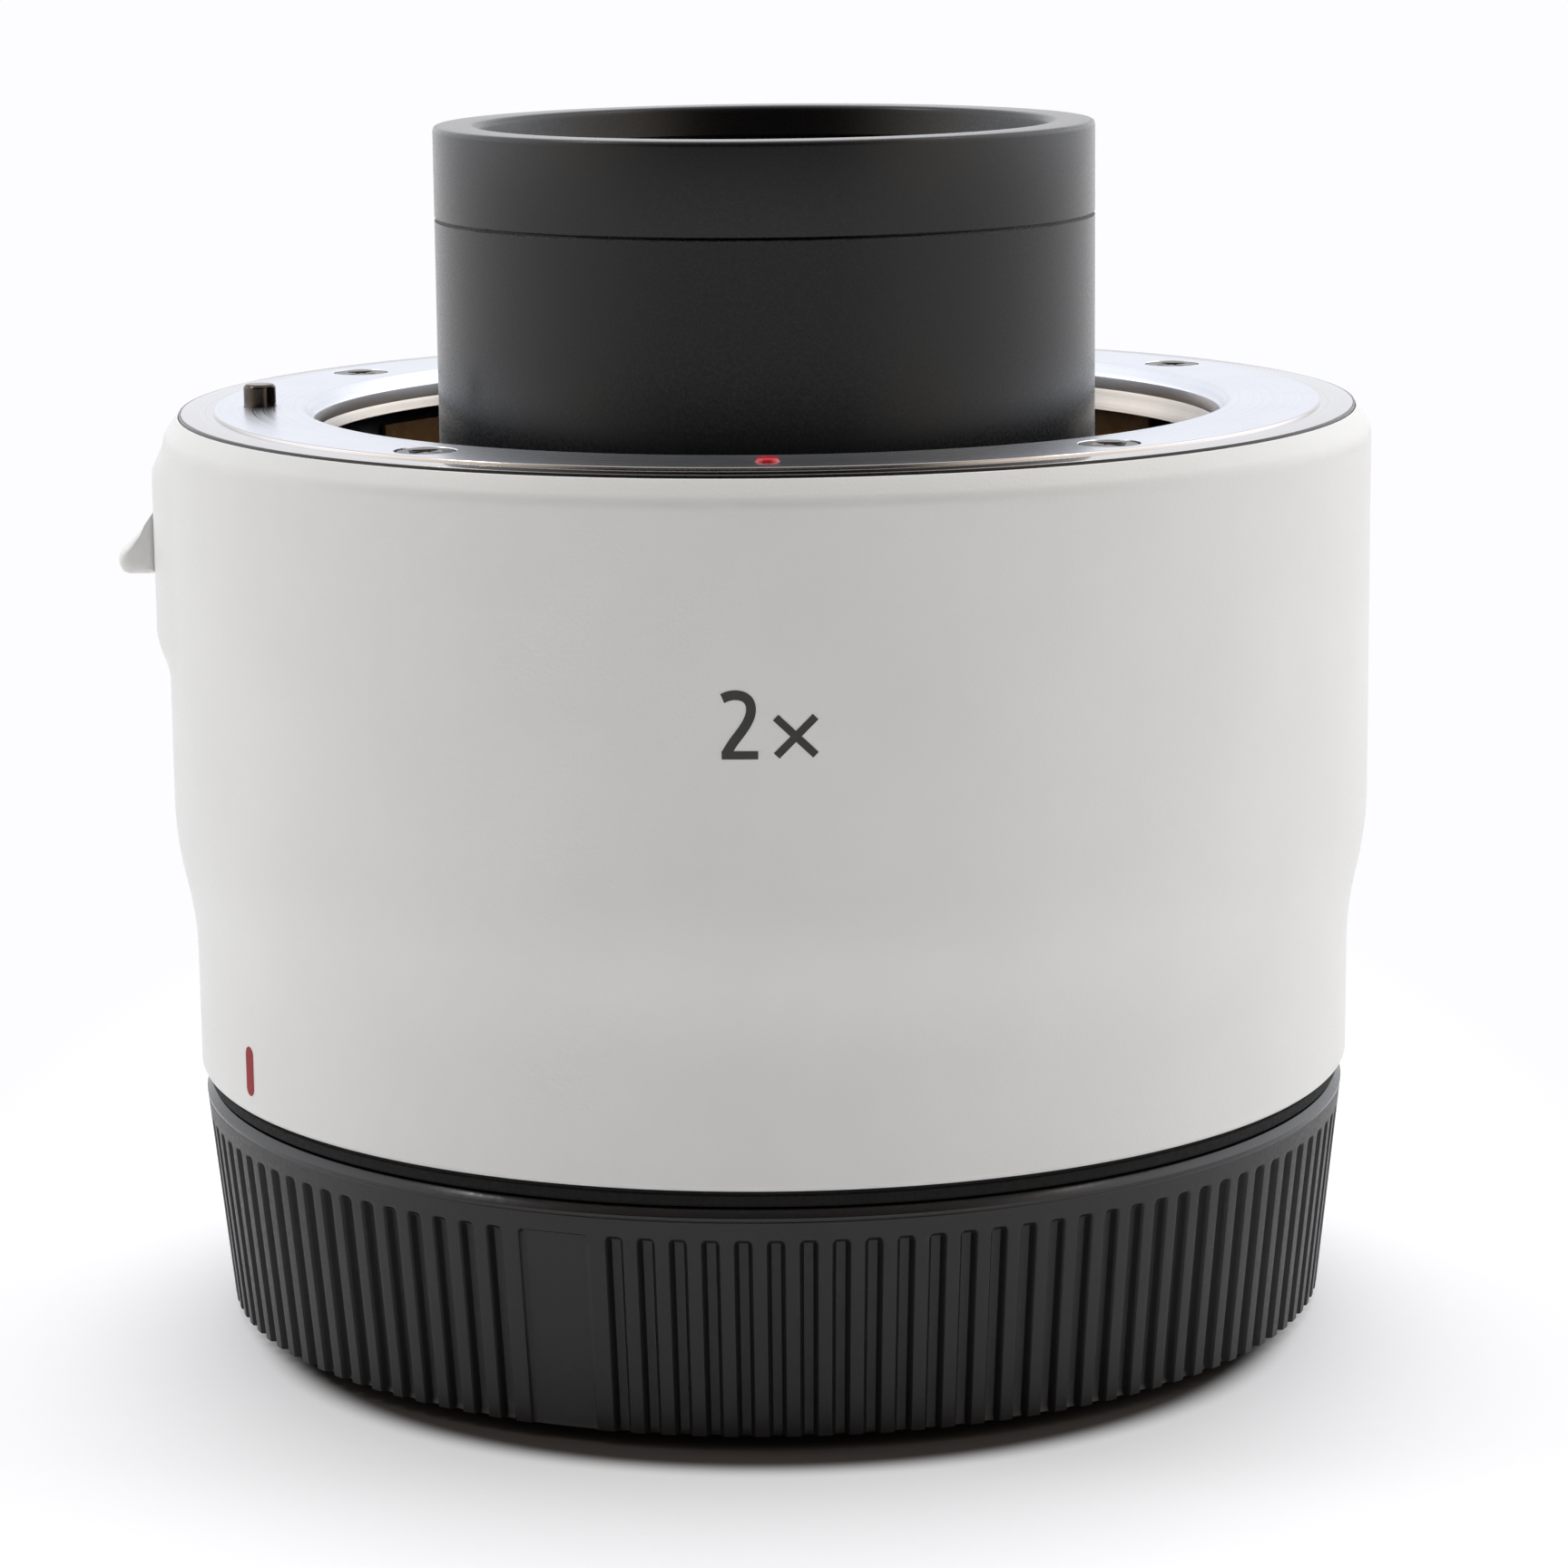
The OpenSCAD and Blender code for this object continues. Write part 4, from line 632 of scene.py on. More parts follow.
@dataclass
class Barrel:
    """Off-white barrel with its taper, soft shoulder and lever pad, and the marks printed on it."""

    body_r: float = 35.6
    foot_r: float = 34.5
    taper_low_z: float = 24.0
    taper_high_z: float = 29.0
    wall: float = 2.2
    shoulder_h: float = 1.15
    rim_drop: float = 0.08
    rim_r: float = 34.66
    rim_w: float = 0.1
    lever_clock: float = 92.0
    pad_centre: float = 11.8
    pad_bulge_r: float = 24.65
    pad_low_z: float = 38.5
    pad_full_low_z: float = 41.0
    pad_full_high_z: float = 50.2
    pad_high_z: float = 52.5
    recess_half: float = 3.9
    recess_low_z: float = 42.0
    recess_high_z: float = 49.7
    recess_floor: float = 35.55
    recess_at: float = 36.0
    # Steps across the recess's edge: the foot of its wall, the wall's top and the bevel's outer edge
    recess_edge: tuple[float, ...] = (-0.05, 0.0, 0.14)
    recess_share: tuple[float, ...] = (1.0, 0.16, 0.0)
    pad_zone: float = 20.0
    pad_cosine: float = 0.8
    pad_soft: float = 0.02
    sunk: float = -0.05
    figure_z: float = 39.05
    figure_across: float = -2.59
    line_clock: float = 60.4
    line_z: float = 17.7
    line_w: float = 1.0
    line_h: float = 2.9
    ink: float = 0.02
    levels: Pair = levels_of("outer_barrel")

    def columns(self) -> np.ndarray:
        """Clock angles: a degree apart, closer on the pad, and on both sides of the recess's walls."""
        edges = np.degrees(np.arcsin((self.recess_half + np.array(self.recess_edge)) / self.recess_at))
        near = np.concatenate([np.linspace(-self.pad_zone, self.pad_zone, 81), edges, -edges])
        far = np.linspace(self.pad_zone, TURN - self.pad_zone, 321)[1:-1]
        return self.lever_clock + np.unique(np.round(np.concatenate([near, far]), 4))

    def outline(self) -> np.ndarray:
        """Outer profile from the foot over the chamfered shoulder to the rim, as rows of radius and height."""
        low, high = self.levels[0], self.levels[1] - self.rim_drop
        return rounded([(self.foot_r - 0.2, low, 0.0), (self.foot_r, low + 0.2, 0.15),
                        (self.foot_r, self.taper_low_z, 2.2), (self.body_r, self.taper_high_z, 2.2),
                        (self.body_r, high - self.shoulder_h, 0.45), (self.rim_r + self.rim_w, high, 0.12),
                        (self.rim_r, high, 0.0)], 8, closed=False)[:-1]

    def build(self, finishes: FinishBook) -> None:
        """Builds the barrel's wall and its marks."""
        finishes.dress("barrel", [self.wall_shell()], BARREL_PAINT, ["outer_barrel"])
        finishes.dress("figure_two_times", self.figure_shells(), GREY_INK)
        finishes.dress("camera_index_line", [self.line_shell()], RED_INK)

    def wall_shell(self) -> Shell:
        """The barrel's wall.

        The outer radius is the profile's, plus the pad's rise: a circle set off the axis, faded in and out along the
        height. Inside the lever's rectangle it drops to a flat floor through a short bevel and a steep wall.
        """
        low, high = self.levels[0], self.levels[1] - self.rim_drop
        profile = self.outline()
        edge = np.array(self.recess_edge)
        rows = np.concatenate([profile[:, 1], np.linspace(self.pad_low_z - 0.2, self.pad_high_z, 44),
                               self.recess_low_z - edge, self.recess_high_z + edge])
        z = np.unique(np.round(rows, 4))[:, None]
        base = np.interp(z, profile[:, 1], profile[:, 0])
        clock = self.columns()
        phi = np.radians(clock - self.lever_clock)[None, :]
        off = self.pad_centre
        inside = np.maximum(self.pad_bulge_r ** 2 - (off * np.sin(phi)) ** 2, 0.0)
        on_pad = np.cos(phi) > self.pad_cosine
        bulge = np.where(on_pad, off * np.cos(phi) + np.sqrt(inside) - self.body_r, -1.0)
        soft = 0.5 * (bulge + np.sqrt(bulge ** 2 + self.pad_soft)) - 0.5 * (np.sqrt(1.0 + self.pad_soft) - 1.0)
        fade = (smooth_step((z - self.pad_low_z) / (self.pad_full_low_z - self.pad_low_z))
                * smooth_step((self.pad_high_z - z) / (self.pad_high_z - self.pad_full_high_z)))
        skin = base + np.maximum(soft, 0.0) * fade
        away = np.maximum(np.where(np.cos(phi) > 0, np.abs(self.recess_at * np.sin(phi)), 99.0) - self.recess_half,
                          np.abs(z - 0.5 * (self.recess_low_z + self.recess_high_z))
                          - 0.5 * (self.recess_high_z - self.recess_low_z))
        floor = np.where(on_pad, self.recess_floor / np.maximum(np.cos(phi), self.pad_cosine), 0.0)
        depth = np.interp(away, self.recess_edge, self.recess_share)
        radius = skin - depth * np.maximum(skin - floor, 0.0) * (depth > 0)
        inner = np.array([(self.rim_r + 0.03, high), (self.rim_r, high - 0.04), (self.rim_r, high - 1.25),
                          (self.body_r - self.wall, high - 1.3), (self.body_r - self.wall, self.taper_high_z),
                          (self.foot_r - self.wall, self.taper_low_z), (self.foot_r - self.wall, low)])
        columns = len(clock)
        radius = np.concatenate([radius, np.repeat(inner[:, :1], columns, 1)])
        height = np.concatenate([np.repeat(z, columns, 1), np.repeat(inner[:, 1:], columns, 1)])
        return Shell.grid(turned(radius, height, clock), True)

    def ribbon(self, path: np.ndarray, stroke: float, lift: float) -> Shell:
        """A stroke of ink: the path moved by half the stroke to both sides of itself, laid round the barrel.

        Args:
            path: Rows of width and height, in millimetres from the figure's lower left corner.
            stroke: The stroke's width.
            lift: How far the ink stands out of the barrel.

        Returns:
            The stroke's shell.
        """
        along = np.gradient(path, axis=0)
        along /= np.linalg.norm(along, axis=1)[:, None]
        side = np.stack([-along[:, 1], along[:, 0]], 1) * stroke / 2
        flat = np.stack([path + side, path - side, path - side, path + side], 1)
        radius = np.array([lift, lift, self.sunk, self.sunk])[None, :] + self.body_r
        points = wrapped(flat[..., 0] + self.figure_across, flat[..., 1] + self.figure_z,
                         np.broadcast_to(radius, flat.shape[:2]), 0.0)
        return Shell.grid(points, False)

    def figure_shells(self) -> list[Shell]:
        """The figure two and the times sign after it, as strokes of ink of two widths."""
        bowl = smooth_path([(0.07, 3.255), (0.40, 3.39), (0.805, 3.436), (1.21, 3.34), (1.477, 3.09), (1.577, 2.75),
                            (1.53, 2.35), (1.34, 1.91), (1.007, 1.41), (0.60, 0.87), (0.215, 0.25)])
        t = np.linspace(0.0, 1.0, 6)[:, None]
        base = np.array([(0.0, 0.22)]) * (1 - t) + np.array([(1.93, 0.22)]) * t
        fall = np.array([(2.87, 2.228)]) * (1 - t) + np.array([(4.98, 0.20)]) * t
        rise = np.array([(2.905, 0.168)]) * (1 - t) + np.array([(4.98, 2.248)]) * t
        strokes = [(bowl, 0.52, 1.0), (base, 0.44, 1.2), (rise, 0.42, 1.0), (fall, 0.42, 1.2)]
        return [self.ribbon(path, stroke, self.ink * share) for path, stroke, share in strokes]

    def line_shell(self) -> Shell:
        """The camera-side index line: a stadium outline scaled to its middle, laid round the barrel's foot."""
        t = np.linspace(0.0, 2 * np.pi, 40, endpoint=False)
        straight = (self.line_h - self.line_w) / 2
        loop = np.stack([np.cos(t) * self.line_w / 2, np.sin(t) * self.line_w / 2 + np.sign(np.sin(t)) * straight], 1)
        share = np.array([1.0, 1.0, 0.5])[:, None, None]
        flat = loop[None] * share
        radius = self.foot_r + np.array([self.sunk, self.ink, self.ink])[:, None] + 0.0 * t[None, :]
        return Shell.grid(wrapped(flat[..., 0], flat[..., 1] + self.line_z, radius, self.line_clock), False)


@dataclass
class LensMount:
    """Chromed bayonet ring with its claws, screw wells, trim ring, index dot and lock pin."""

    outer_r: float = 34.5
    step_r: float = 32.6
    mouth_r: float = 27.35
    bore_r: float = 26.75
    mouth_h: float = 0.75
    step_drop: float = 0.15
    chamfer: float = 0.05
    claw_out: float = 27.0
    claw_lean: float = 0.35
    claw_heights: tuple[Pair, ...] = ((0.0, 1.3), (120.0, 0.65), (240.0, 1.3))
    claw_half: float = 31.0
    trim_drop: float = 0.02
    trim_in: float = 34.51
    trim_out: float = 34.62
    screw_r: float = 30.25
    screw_clocks: tuple[float, ...] = (38.0, -38.0, 123.0, -123.0)
    well_r: float = 1.7
    well_depth: float = 0.75
    dot_r: float = 0.68
    dot_rise: float = 0.29
    pin_clock: float = 87.0
    pin_place_r: float = 29.9
    pin_r: float = 0.95
    pin_bevel: float = 0.16
    film_r: float = 27.82
    film_t: float = 0.24
    film_half: float = 59.0
    film_rise: float = 1.4
    well_bevel: float = 0.05
    well_flare: float = 0.06
    claw_gap: float = 0.02
    claw_top: float = 0.04
    dot_room: float = 0.02
    dot_well: float = 0.3
    dot_sunk: float = 0.04
    dot_foot: float = 0.28
    pin_room: float = 0.06
    pin_hole: float = 5.0
    pin_core: float = 0.3
    levels: Pair = levels_of("lens_mount_ring")
    film_levels: Pair = levels_of("front_flex")
    pin_levels: Pair = levels_of("lock_pin")
    trim_levels: Pair = levels_of("mount_trim_ring")

    def at(self, clock: float, radius: float) -> Pair:
        """Place of a point on the ring's face."""
        return -radius * np.sin(np.radians(clock)), -radius * np.cos(np.radians(clock))

    def build(self, finishes: FinishBook) -> None:
        """Builds the ring, the claws, the trim ring, the dot, the film and the pin."""
        face = self.levels[1]
        drills = [self.drill(self.at(c, self.screw_r), self.well_r, self.well_depth) for c in self.screw_clocks]
        drills.append(self.drill(self.at(0.0, self.screw_r), self.dot_r + self.dot_room, self.dot_well))
        pin_place = self.at(self.pin_clock, self.pin_place_r)
        drills.append(self.drill(pin_place, self.pin_r + self.pin_room, self.pin_hole))
        ring = drilled(mesh_of("mount_ring", [self.ring_shell()]), drills)
        place("mount_ring", ring, finishes.of(MOUNT_CHROME), Body.EXTENDER, ["lens_mount_ring"])
        finishes.dress("bayonet_claws", self.claw_shells(), CLAW_METAL_PAINTED_WARM)
        trim_low, trim_high = self.trim_levels[0], face - self.step_drop - self.trim_drop
        trim = rounded([(self.trim_in, trim_low, 0.0), (self.trim_out, trim_low, 0.0),
                        (self.trim_out, trim_high, 0.03), (self.trim_in, trim_high, 0.03)], 2)
        finishes.dress("trim_ring", [lathe(trim)], NOSE_RING, ["mount_trim_ring"])
        finishes.dress("index_dot", [self.dot_shell()], RED_ENAMEL, ["mount_index_dot"])
        finishes.dress("contact_film", [self.film_shell()], AMBER_FILM, ["front_flex"])
        finishes.dress("lock_pin_body", [self.pin_shell()], PIN_STEEL_PAINTED_DARK, ["lock_pin"], Body.PIN)

    def ring_shell(self) -> Shell:
        """The ring: a closed profile with a flared mouth, turned round."""
        low, face = self.levels
        step, c = face - self.step_drop, self.chamfer
        return lathe(rounded([(self.outer_r, low, 0.0), (self.outer_r, step, 0.03), (self.step_r + 0.005, step, 0.0),
                              (self.step_r, face - c, 0.02), (self.step_r - c, face, 0.02),
                              (self.mouth_r, face, 0.05), (self.bore_r, face - self.mouth_h, 0.08),
                              (self.bore_r, low, 0.0)], 3), 720)

    def claw_shells(self) -> list[Shell]:
        """The three claws under the ring's mouth: each an upright bar, its inner face leaning, carried along an arc."""
        top, inner = self.levels[0] + self.claw_top, self.bore_r + self.claw_gap
        shells = []
        for middle, height in self.claw_heights:
            foot = self.levels[0] - height
            loop = rounded([(self.claw_out, top, 0.0), (self.claw_out, foot, 0.08),
                            (inner - self.claw_lean * height, foot, 0.08), (inner, top, 0.0)], 3)
            shells.append(arc(loop, np.linspace(middle - self.claw_half, middle + self.claw_half, 125)))
        return shells

    def drill(self, centre: Pair, radius: float, depth: float) -> Shell:
        """A drill for a hole in the face, flared at the top so that it leaves a small chamfer."""
        face, b, wide = self.levels[1], self.well_bevel, radius + self.well_flare
        profile = np.array([(radius - b, face - depth), (radius, face - depth + b), (radius, face - b),
                            (wide, face + 0.01), (wide, face + 0.5)])
        return lathe(profile, 56, False, centre)

    def dot_shell(self) -> Shell:
        """The index dot: a bead whose height falls with the eighth power of the distance from its middle."""
        face = self.levels[1]
        share = np.sin(np.linspace(np.pi / 2, 0.08, 14))
        profile = np.stack([self.dot_r * share, face - self.dot_sunk + self.dot_rise * (1.0 - share ** 8)], 1)
        foot = np.array([(self.dot_r, face - self.dot_foot)])
        return lathe(np.concatenate([foot, profile]), 48, False, self.at(0.0, self.screw_r))

    def film_shell(self) -> Shell:
        """The amber film behind the contacts: a thin upright strip carried round its arc."""
        low, high = self.film_levels
        high += self.film_rise
        inner, outer = self.film_r - self.film_t / 2, self.film_r + self.film_t / 2
        loop = np.array([(inner, low), (outer, low), (outer, high), (inner, high)])
        return arc(loop, np.linspace(180.0 - self.film_half, 180.0 + self.film_half, 119))

    def pin_shell(self) -> Shell:
        """The lock pin: a plain shank with a bevelled head, turned about its own axis."""
        low, high = self.pin_levels
        b = self.pin_bevel
        profile = rounded([(self.pin_core, low, 0.0), (self.pin_r, low, 0.1), (self.pin_r, high - b, 0.06),
                           (self.pin_r - b, high, 0.06), (self.pin_core, high, 0.0)], 3, closed=False)
        return lathe(profile, 64, False, self.at(self.pin_clock, self.pin_place_r))


@dataclass
class Nose:
    """Black tube that reaches into the lens, and the ring that closes it."""

    tube_r: float = 19.4
    ring_r: float = 19.4
    seam_drop: float = 0.19
    seam_gap: float = 0.22
    lip_w: float = 0.8
    lip_drop: float = 0.12
    mouth_h: float = 0.9
    neck_h: float = 0.6
    columns: int = 480
    foot_r: float = 22.6
    foot_h: float = 1.2
    bore_r: float = 17.0
    mouth_r: float = 16.8
    neck_r: float = 15.6
    edge: float = 0.32
    ridges: int = 6
    ridge: float = 0.22
    levels: Pair = levels_of("nose_barrel")
    ring_levels: Pair = levels_of("nose_front_ring")

    def build(self, finishes: FinishBook) -> None:
        """Builds the tube and the front ring."""
        low, seam = self.levels
        seam -= self.seam_drop
        tube = rounded([(self.bore_r, low, 0.0), (self.foot_r, low, 0.1), (self.foot_r, low + self.foot_h, 0.15),
                        (self.tube_r, low + self.foot_h, 0.3), (self.tube_r, seam, 0.0),
                        (self.tube_r - self.lip_w, seam - self.lip_drop, 0.0),
                        (self.bore_r, seam - self.lip_drop, 0.0)], 5)
        finishes.dress("nose_tube", [lathe(tube, self.columns)], NOSE_TUBE, ["nose_barrel"])
        finishes.dress("nose_rim", [self.rim_shell()], NOSE_RING, ["nose_front_ring"])

    def rim_shell(self) -> Shell:
        """The front ring: rounded outer edge, flat rim, and a mouth that narrows in even saw-toothed ridges."""
        low, high = self.ring_levels
        seam = self.levels[1] - self.seam_drop + self.seam_gap
        depth = np.linspace(0.0, 1.0, self.ridges + 1)[1:]
        mouth_z = high - self.mouth_h - (high - self.mouth_h - low - self.neck_h) * depth
        mouth = self.mouth_r - 0.1 + (self.neck_r - self.mouth_r + 0.1) * depth
        teeth = np.stack([np.stack([mouth, mouth_z + 0.12], 1), np.stack([mouth + self.ridge, mouth_z], 1)],
                         1).reshape(-1, 2)
        fixed = rounded([(self.bore_r - 0.05, low, 0.0), (self.bore_r - 0.05, seam, 0.0), (self.ring_r, seam, 0.05),
                         (self.ring_r, high, self.edge), (self.mouth_r, high, 0.4),
                         (self.mouth_r - 0.1, high - self.mouth_h, 0.0)], 6, closed=False)
        profile = np.concatenate([fixed, teeth, [(self.neck_r, low)]])
        return lathe(profile, self.columns)


@dataclass
class RearEnd:
    """Ribbed rear cap that the part stands on, and the rubber seal between it and the barrel."""

    top_r: float = 34.25
    foot_r: float = 32.85
    inner_r: float = 30.6
    floor_t: float = 1.5
    bevel: float = 0.45
    sole_r: float = 28.0
    foot_gap: float = 0.65
    groove_count: int = 120
    groove_half: float = 0.49
    groove_depth: float = 0.5
    groove_slope: float = 0.3
    groove_top: float = 12.25
    groove_round: float = 0.28
    panel_clock: float = 21.0
    panel_half: float = 3.4
    panel_depth: float = 0.3
    panel_slope: float = 0.14
    claw_r: float = 27.05
    claw_half: float = 25.0
    claw_low: float = 12.55
    claw_high: float = 13.55
    claw_fade: float = 0.4
    claw_pitch: float = 120.0
    seal_r: float = 34.0
    seal_in_r: float = 31.2
    seal_neck_r: float = 31.9
    seal_lip_h: float = 1.0
    hub_r: float = 8.0
    levels: Pair = levels_of("rear_cap")
    seal_levels: Pair = levels_of("rear_gasket")

    def build(self, finishes: FinishBook) -> None:
        """Builds the cap and the seal."""
        finishes.dress("ribbed_cap", [self.cap_shell()], CAP_ABS, ["rear_cap"], Body.CAP, 40.0)
        low, high = self.seal_levels
        lip = low + self.seal_lip_h
        seal = rounded([(self.seal_in_r, low, 0.1), (self.seal_r, low, 0.22), (self.seal_r, lip - 0.34, 0.06),
                        (self.seal_r - 0.12, lip - 0.3, 0.04), (self.seal_r - 0.1, lip, 0.05),
                        (self.seal_neck_r, lip, 0.0), (self.seal_neck_r, high, 0.1), (self.seal_in_r, high, 0.1)], 4)
        finishes.dress("seal", [lathe(seal, 480)], RUBBER, ["rear_gasket"])

    def columns(self) -> tuple[np.ndarray, np.ndarray]:
        """Clock angles bunched at each groove's walls.

        Returns:
            The clock angles and, for each, its distance from the nearest groove's middle, in degrees.
        """
        pitch = TURN / self.groove_count
        mm = np.array([0.0, 0.1, 0.19, 0.26, 0.33, 0.4, 0.46, 0.52, 0.62, 0.76])
        side = np.degrees(mm / self.top_r)
        one = np.concatenate([-side[:0:-1], side])
        clock = (np.arange(self.groove_count)[:, None] * pitch + one[None, :]).ravel()
        offset = np.tile(one, self.groove_count)
        return clock, offset

    def cut_share(self, across: np.ndarray, height: np.ndarray, half: float, slope: float) -> np.ndarray:
        """Share of a groove's depth at a place on the side.

        The distance to the groove's outline, a strip with two round upper corners, runs through a smooth ramp: none
        outside, full a slope's width inside.

        Args:
            across: Distance from the groove's middle.
            height: Height on the side.
            half: Half of the groove's width.
            slope: Width of its wall.

        Returns:
            Share from 0 to 1.
        """
        q = np.abs(across) - (half - self.groove_round)
        p = height - (self.groove_top - self.groove_round)
        far = np.hypot(np.maximum(q, 0.0), np.maximum(p, 0.0)) + np.minimum(np.maximum(q, p), 0.0)
        return smooth_step((self.groove_round + 0.05 - far) / slope)

    def cap_shell(self) -> Shell:
        """The cap: side rows that lean out to the top, cut by grooves and one plain panel, over a closed inside.

        The radius at a row is the side's, less the groove's or the panel's depth there; inner rows move in to the
        claws' radius in three sectors.
        """
        low, high = self.levels
        clock, offset = self.columns()
        lean = (self.top_r - self.foot_r) / (high - self.bevel - low)
        cut_z = np.array([-0.5, -0.42, -0.34, -0.26, -0.18, -0.1, -0.03, 0.04, 0.14, 0.3]) + self.groove_top
        side_z = np.concatenate([[low + 0.8, low + 1.1, 3.0, 5.0, 7.0, 9.0, 10.6], cut_z,
                                 [high - 0.72, high - 0.66, high - 0.63, high - 0.6, high - 0.54]])
        side_r = self.foot_r + lean * (side_z - low)
        side_r[-4:-2] -= 0.05
        sole, edge_z = self.sole_r, low + self.foot_gap
        foot = np.array([(self.hub_r, low), (sole - 5.0, low), (sole, low), (sole + 0.3, edge_z - 0.05),
                         (self.foot_r - 0.55, edge_z), (self.foot_r - 0.18, edge_z + 0.14)])
        inside = rounded([(self.top_r, high - 0.5, 0.0), (self.top_r, high - 0.42, 0.05),
                          (self.top_r - 0.38, high, 0.06), (self.inner_r, high, 0.15),
                          (self.inner_r, self.claw_high + 0.1, 0.0)], 3, closed=False)
        claw = np.array([(self.inner_r, self.claw_high), (self.inner_r, self.claw_low)])
        bottom = np.array([(self.inner_r, self.claw_low - 0.1), (self.inner_r, low + self.floor_t + 0.4),
                           (self.inner_r - 0.4, low + self.floor_t), (self.hub_r, low + self.floor_t)])
        radius = np.concatenate([foot[:, 0], side_r, inside[:, 0], claw[:, 0], bottom[:, 0]])
        height = np.concatenate([foot[:, 1], side_z, inside[:, 1], claw[:, 1], bottom[:, 1]])
        first, last = len(foot), len(foot) + len(side_z)
        z = height[:, None]
        panel = (clock - self.panel_clock + TURN / 2) % TURN - TURN / 2
        pitch = TURN / self.groove_count
        free = np.abs(np.round((clock - self.panel_clock) / pitch) * pitch) > self.panel_half + pitch / 2
        across = np.radians(offset) * self.top_r
        grooves = self.cut_share(across[None, :], z, self.groove_half, self.groove_slope) * free[None, :]
        plain = self.cut_share(np.radians(panel)[None, :] * self.top_r, z,
                               np.radians(self.panel_half) * self.top_r, self.panel_slope)
        cut = grooves * self.groove_depth + plain * self.panel_depth
        rows = np.arange(len(radius))[:, None]
        fade = np.interp(rows, [first - 2, first, first + 1], [0.0, 0.7, 1.0]) * (rows < last)
        edge = [self.claw_half, self.claw_half + self.claw_fade]
        half = self.claw_pitch / 2
        sector = np.interp(np.abs((clock + half) % self.claw_pitch - half), edge, [1.0, 0.0])[None, :]
        claw_rows = (rows >= len(radius) - len(bottom) - 2) & (rows < len(radius) - len(bottom))
        r = radius[:, None] - cut * fade - claw_rows * sector * (self.inner_r - self.claw_r)
        return Shell.grid(turned(r, z + 0.0 * sector, clock), False)


@dataclass
class ReleaseLever:
    """Thumb lever on the pad: a plate in its recess with a ledge that a thumb pulls down."""

    clock: float = 92.0
    plate_half: float = 3.7
    plate_front: float = 36.42
    plate_t: float = 0.8
    plate_low: float = 44.2
    plate_high: float = 49.5
    thumb_half: float = 3.2
    tip_r: float = 38.75
    thumb_low: float = 44.25
    root_r: float = 36.2
    plate_corner: float = 0.7
    plate_crown: float = 52.0
    end_fall: float = 1.15
    end_ellipse: float = 0.72
    end_shrink: float = 0.42
    end_from: float = 0.86

    def build(self, finishes: FinishBook) -> None:
        """Builds the plate and the thumb ledge as one piece."""
        finishes.dress("thumb_lever", [self.plate_shell(), self.thumb_shell()], BARREL_PAINT,
                       ["release_lever"], Body.RELEASE, 38.0)

    def turn_out(self, across: np.ndarray, out: np.ndarray, height: np.ndarray) -> np.ndarray:
        """Points given across the lever, out from the axis and up, turned to the lever's clock angle."""
        a = np.radians(self.clock)
        return np.stack(np.broadcast_arrays(-out * np.sin(a) - across * np.cos(a),
                                            -out * np.cos(a) + across * np.sin(a), height), -1)

    def plate_shell(self) -> Shell:
        """The plate: a round-cornered rectangle in layers, its front layer drawn in by a small bevel and crowned like
        the pad."""
        w, low, high, c = self.plate_half, self.plate_low, self.plate_high, self.plate_corner
        loop = rounded([(-w, low, c), (w, low, c), (w, high, c), (-w, high, c)], 8)
        middle = np.array([0.0, (low + high) / 2])
        inset = np.array([0.0, 0.0, 0.1, 0.6, 1.6, 2.5])
        out = self.plate_front - np.array([self.plate_t, 0.1, 0.0, 0.0, 0.0, 0.0])
        half = np.array([w, (high - low) / 2])
        scale = np.maximum(1.0 - inset[:, None] / half[None, :], 0.05)[:, None, :]
        flat = middle + (loop - middle)[None] * scale
        crown = flat[..., 0] ** 2 / self.plate_crown
        return Shell.grid(self.turn_out(flat[..., 0], out[:, None] - crown, flat[..., 1]), False)

    def thumb_shell(self) -> Shell:
        """The ledge: its side outline carried across the lever.

        The outline is flat below, round at the tip and hollow above. Towards the ends it draws back from the tip by
        an ellipse's fall and shrinks to its middle by a quarter circle, which rounds the side edges.
        """
        root, tip, low = self.root_r, self.tip_r, self.thumb_low
        under = np.array([(root, low + 0.02), (36.9, low), (37.5, low)])
        nose = smooth_path([(tip - 0.62, low), (tip - 0.2, low + 0.16), (tip, low + 0.62), (tip - 0.12, low + 1.12),
                            (tip - 0.5, low + 1.5)], 5)
        hollow = smooth_path([(tip - 0.5, low + 1.5), (37.5, low + 2.25), (36.9, low + 2.72), (36.5, low + 3.25),
                              (root, low + 3.8)], 5)[1:]
        outline = np.concatenate([under, nose, hollow])
        share = np.sin(np.linspace(-np.pi / 2, np.pi / 2, 33))
        across = self.thumb_half * share
        fall = 1.0 - np.sqrt(1.0 - self.end_ellipse * share ** 2)
        back = self.end_fall * fall[:, None] * (outline[None, :, 0] - root) / (tip - root)
        middle = outline.mean(0)
        end = ((np.abs(share) - self.end_from) / (1.0 - self.end_from)).clip(0.0)
        shrink = 1.0 - self.end_shrink * (1.0 - np.sqrt(np.clip(1.0 - end ** 2, 0.0, 1.0)))
        flat = middle + (outline - middle)[None] * shrink[:, None, None]
        return Shell.grid(self.turn_out(across[:, None], flat[..., 0] - back, flat[..., 1]), False)


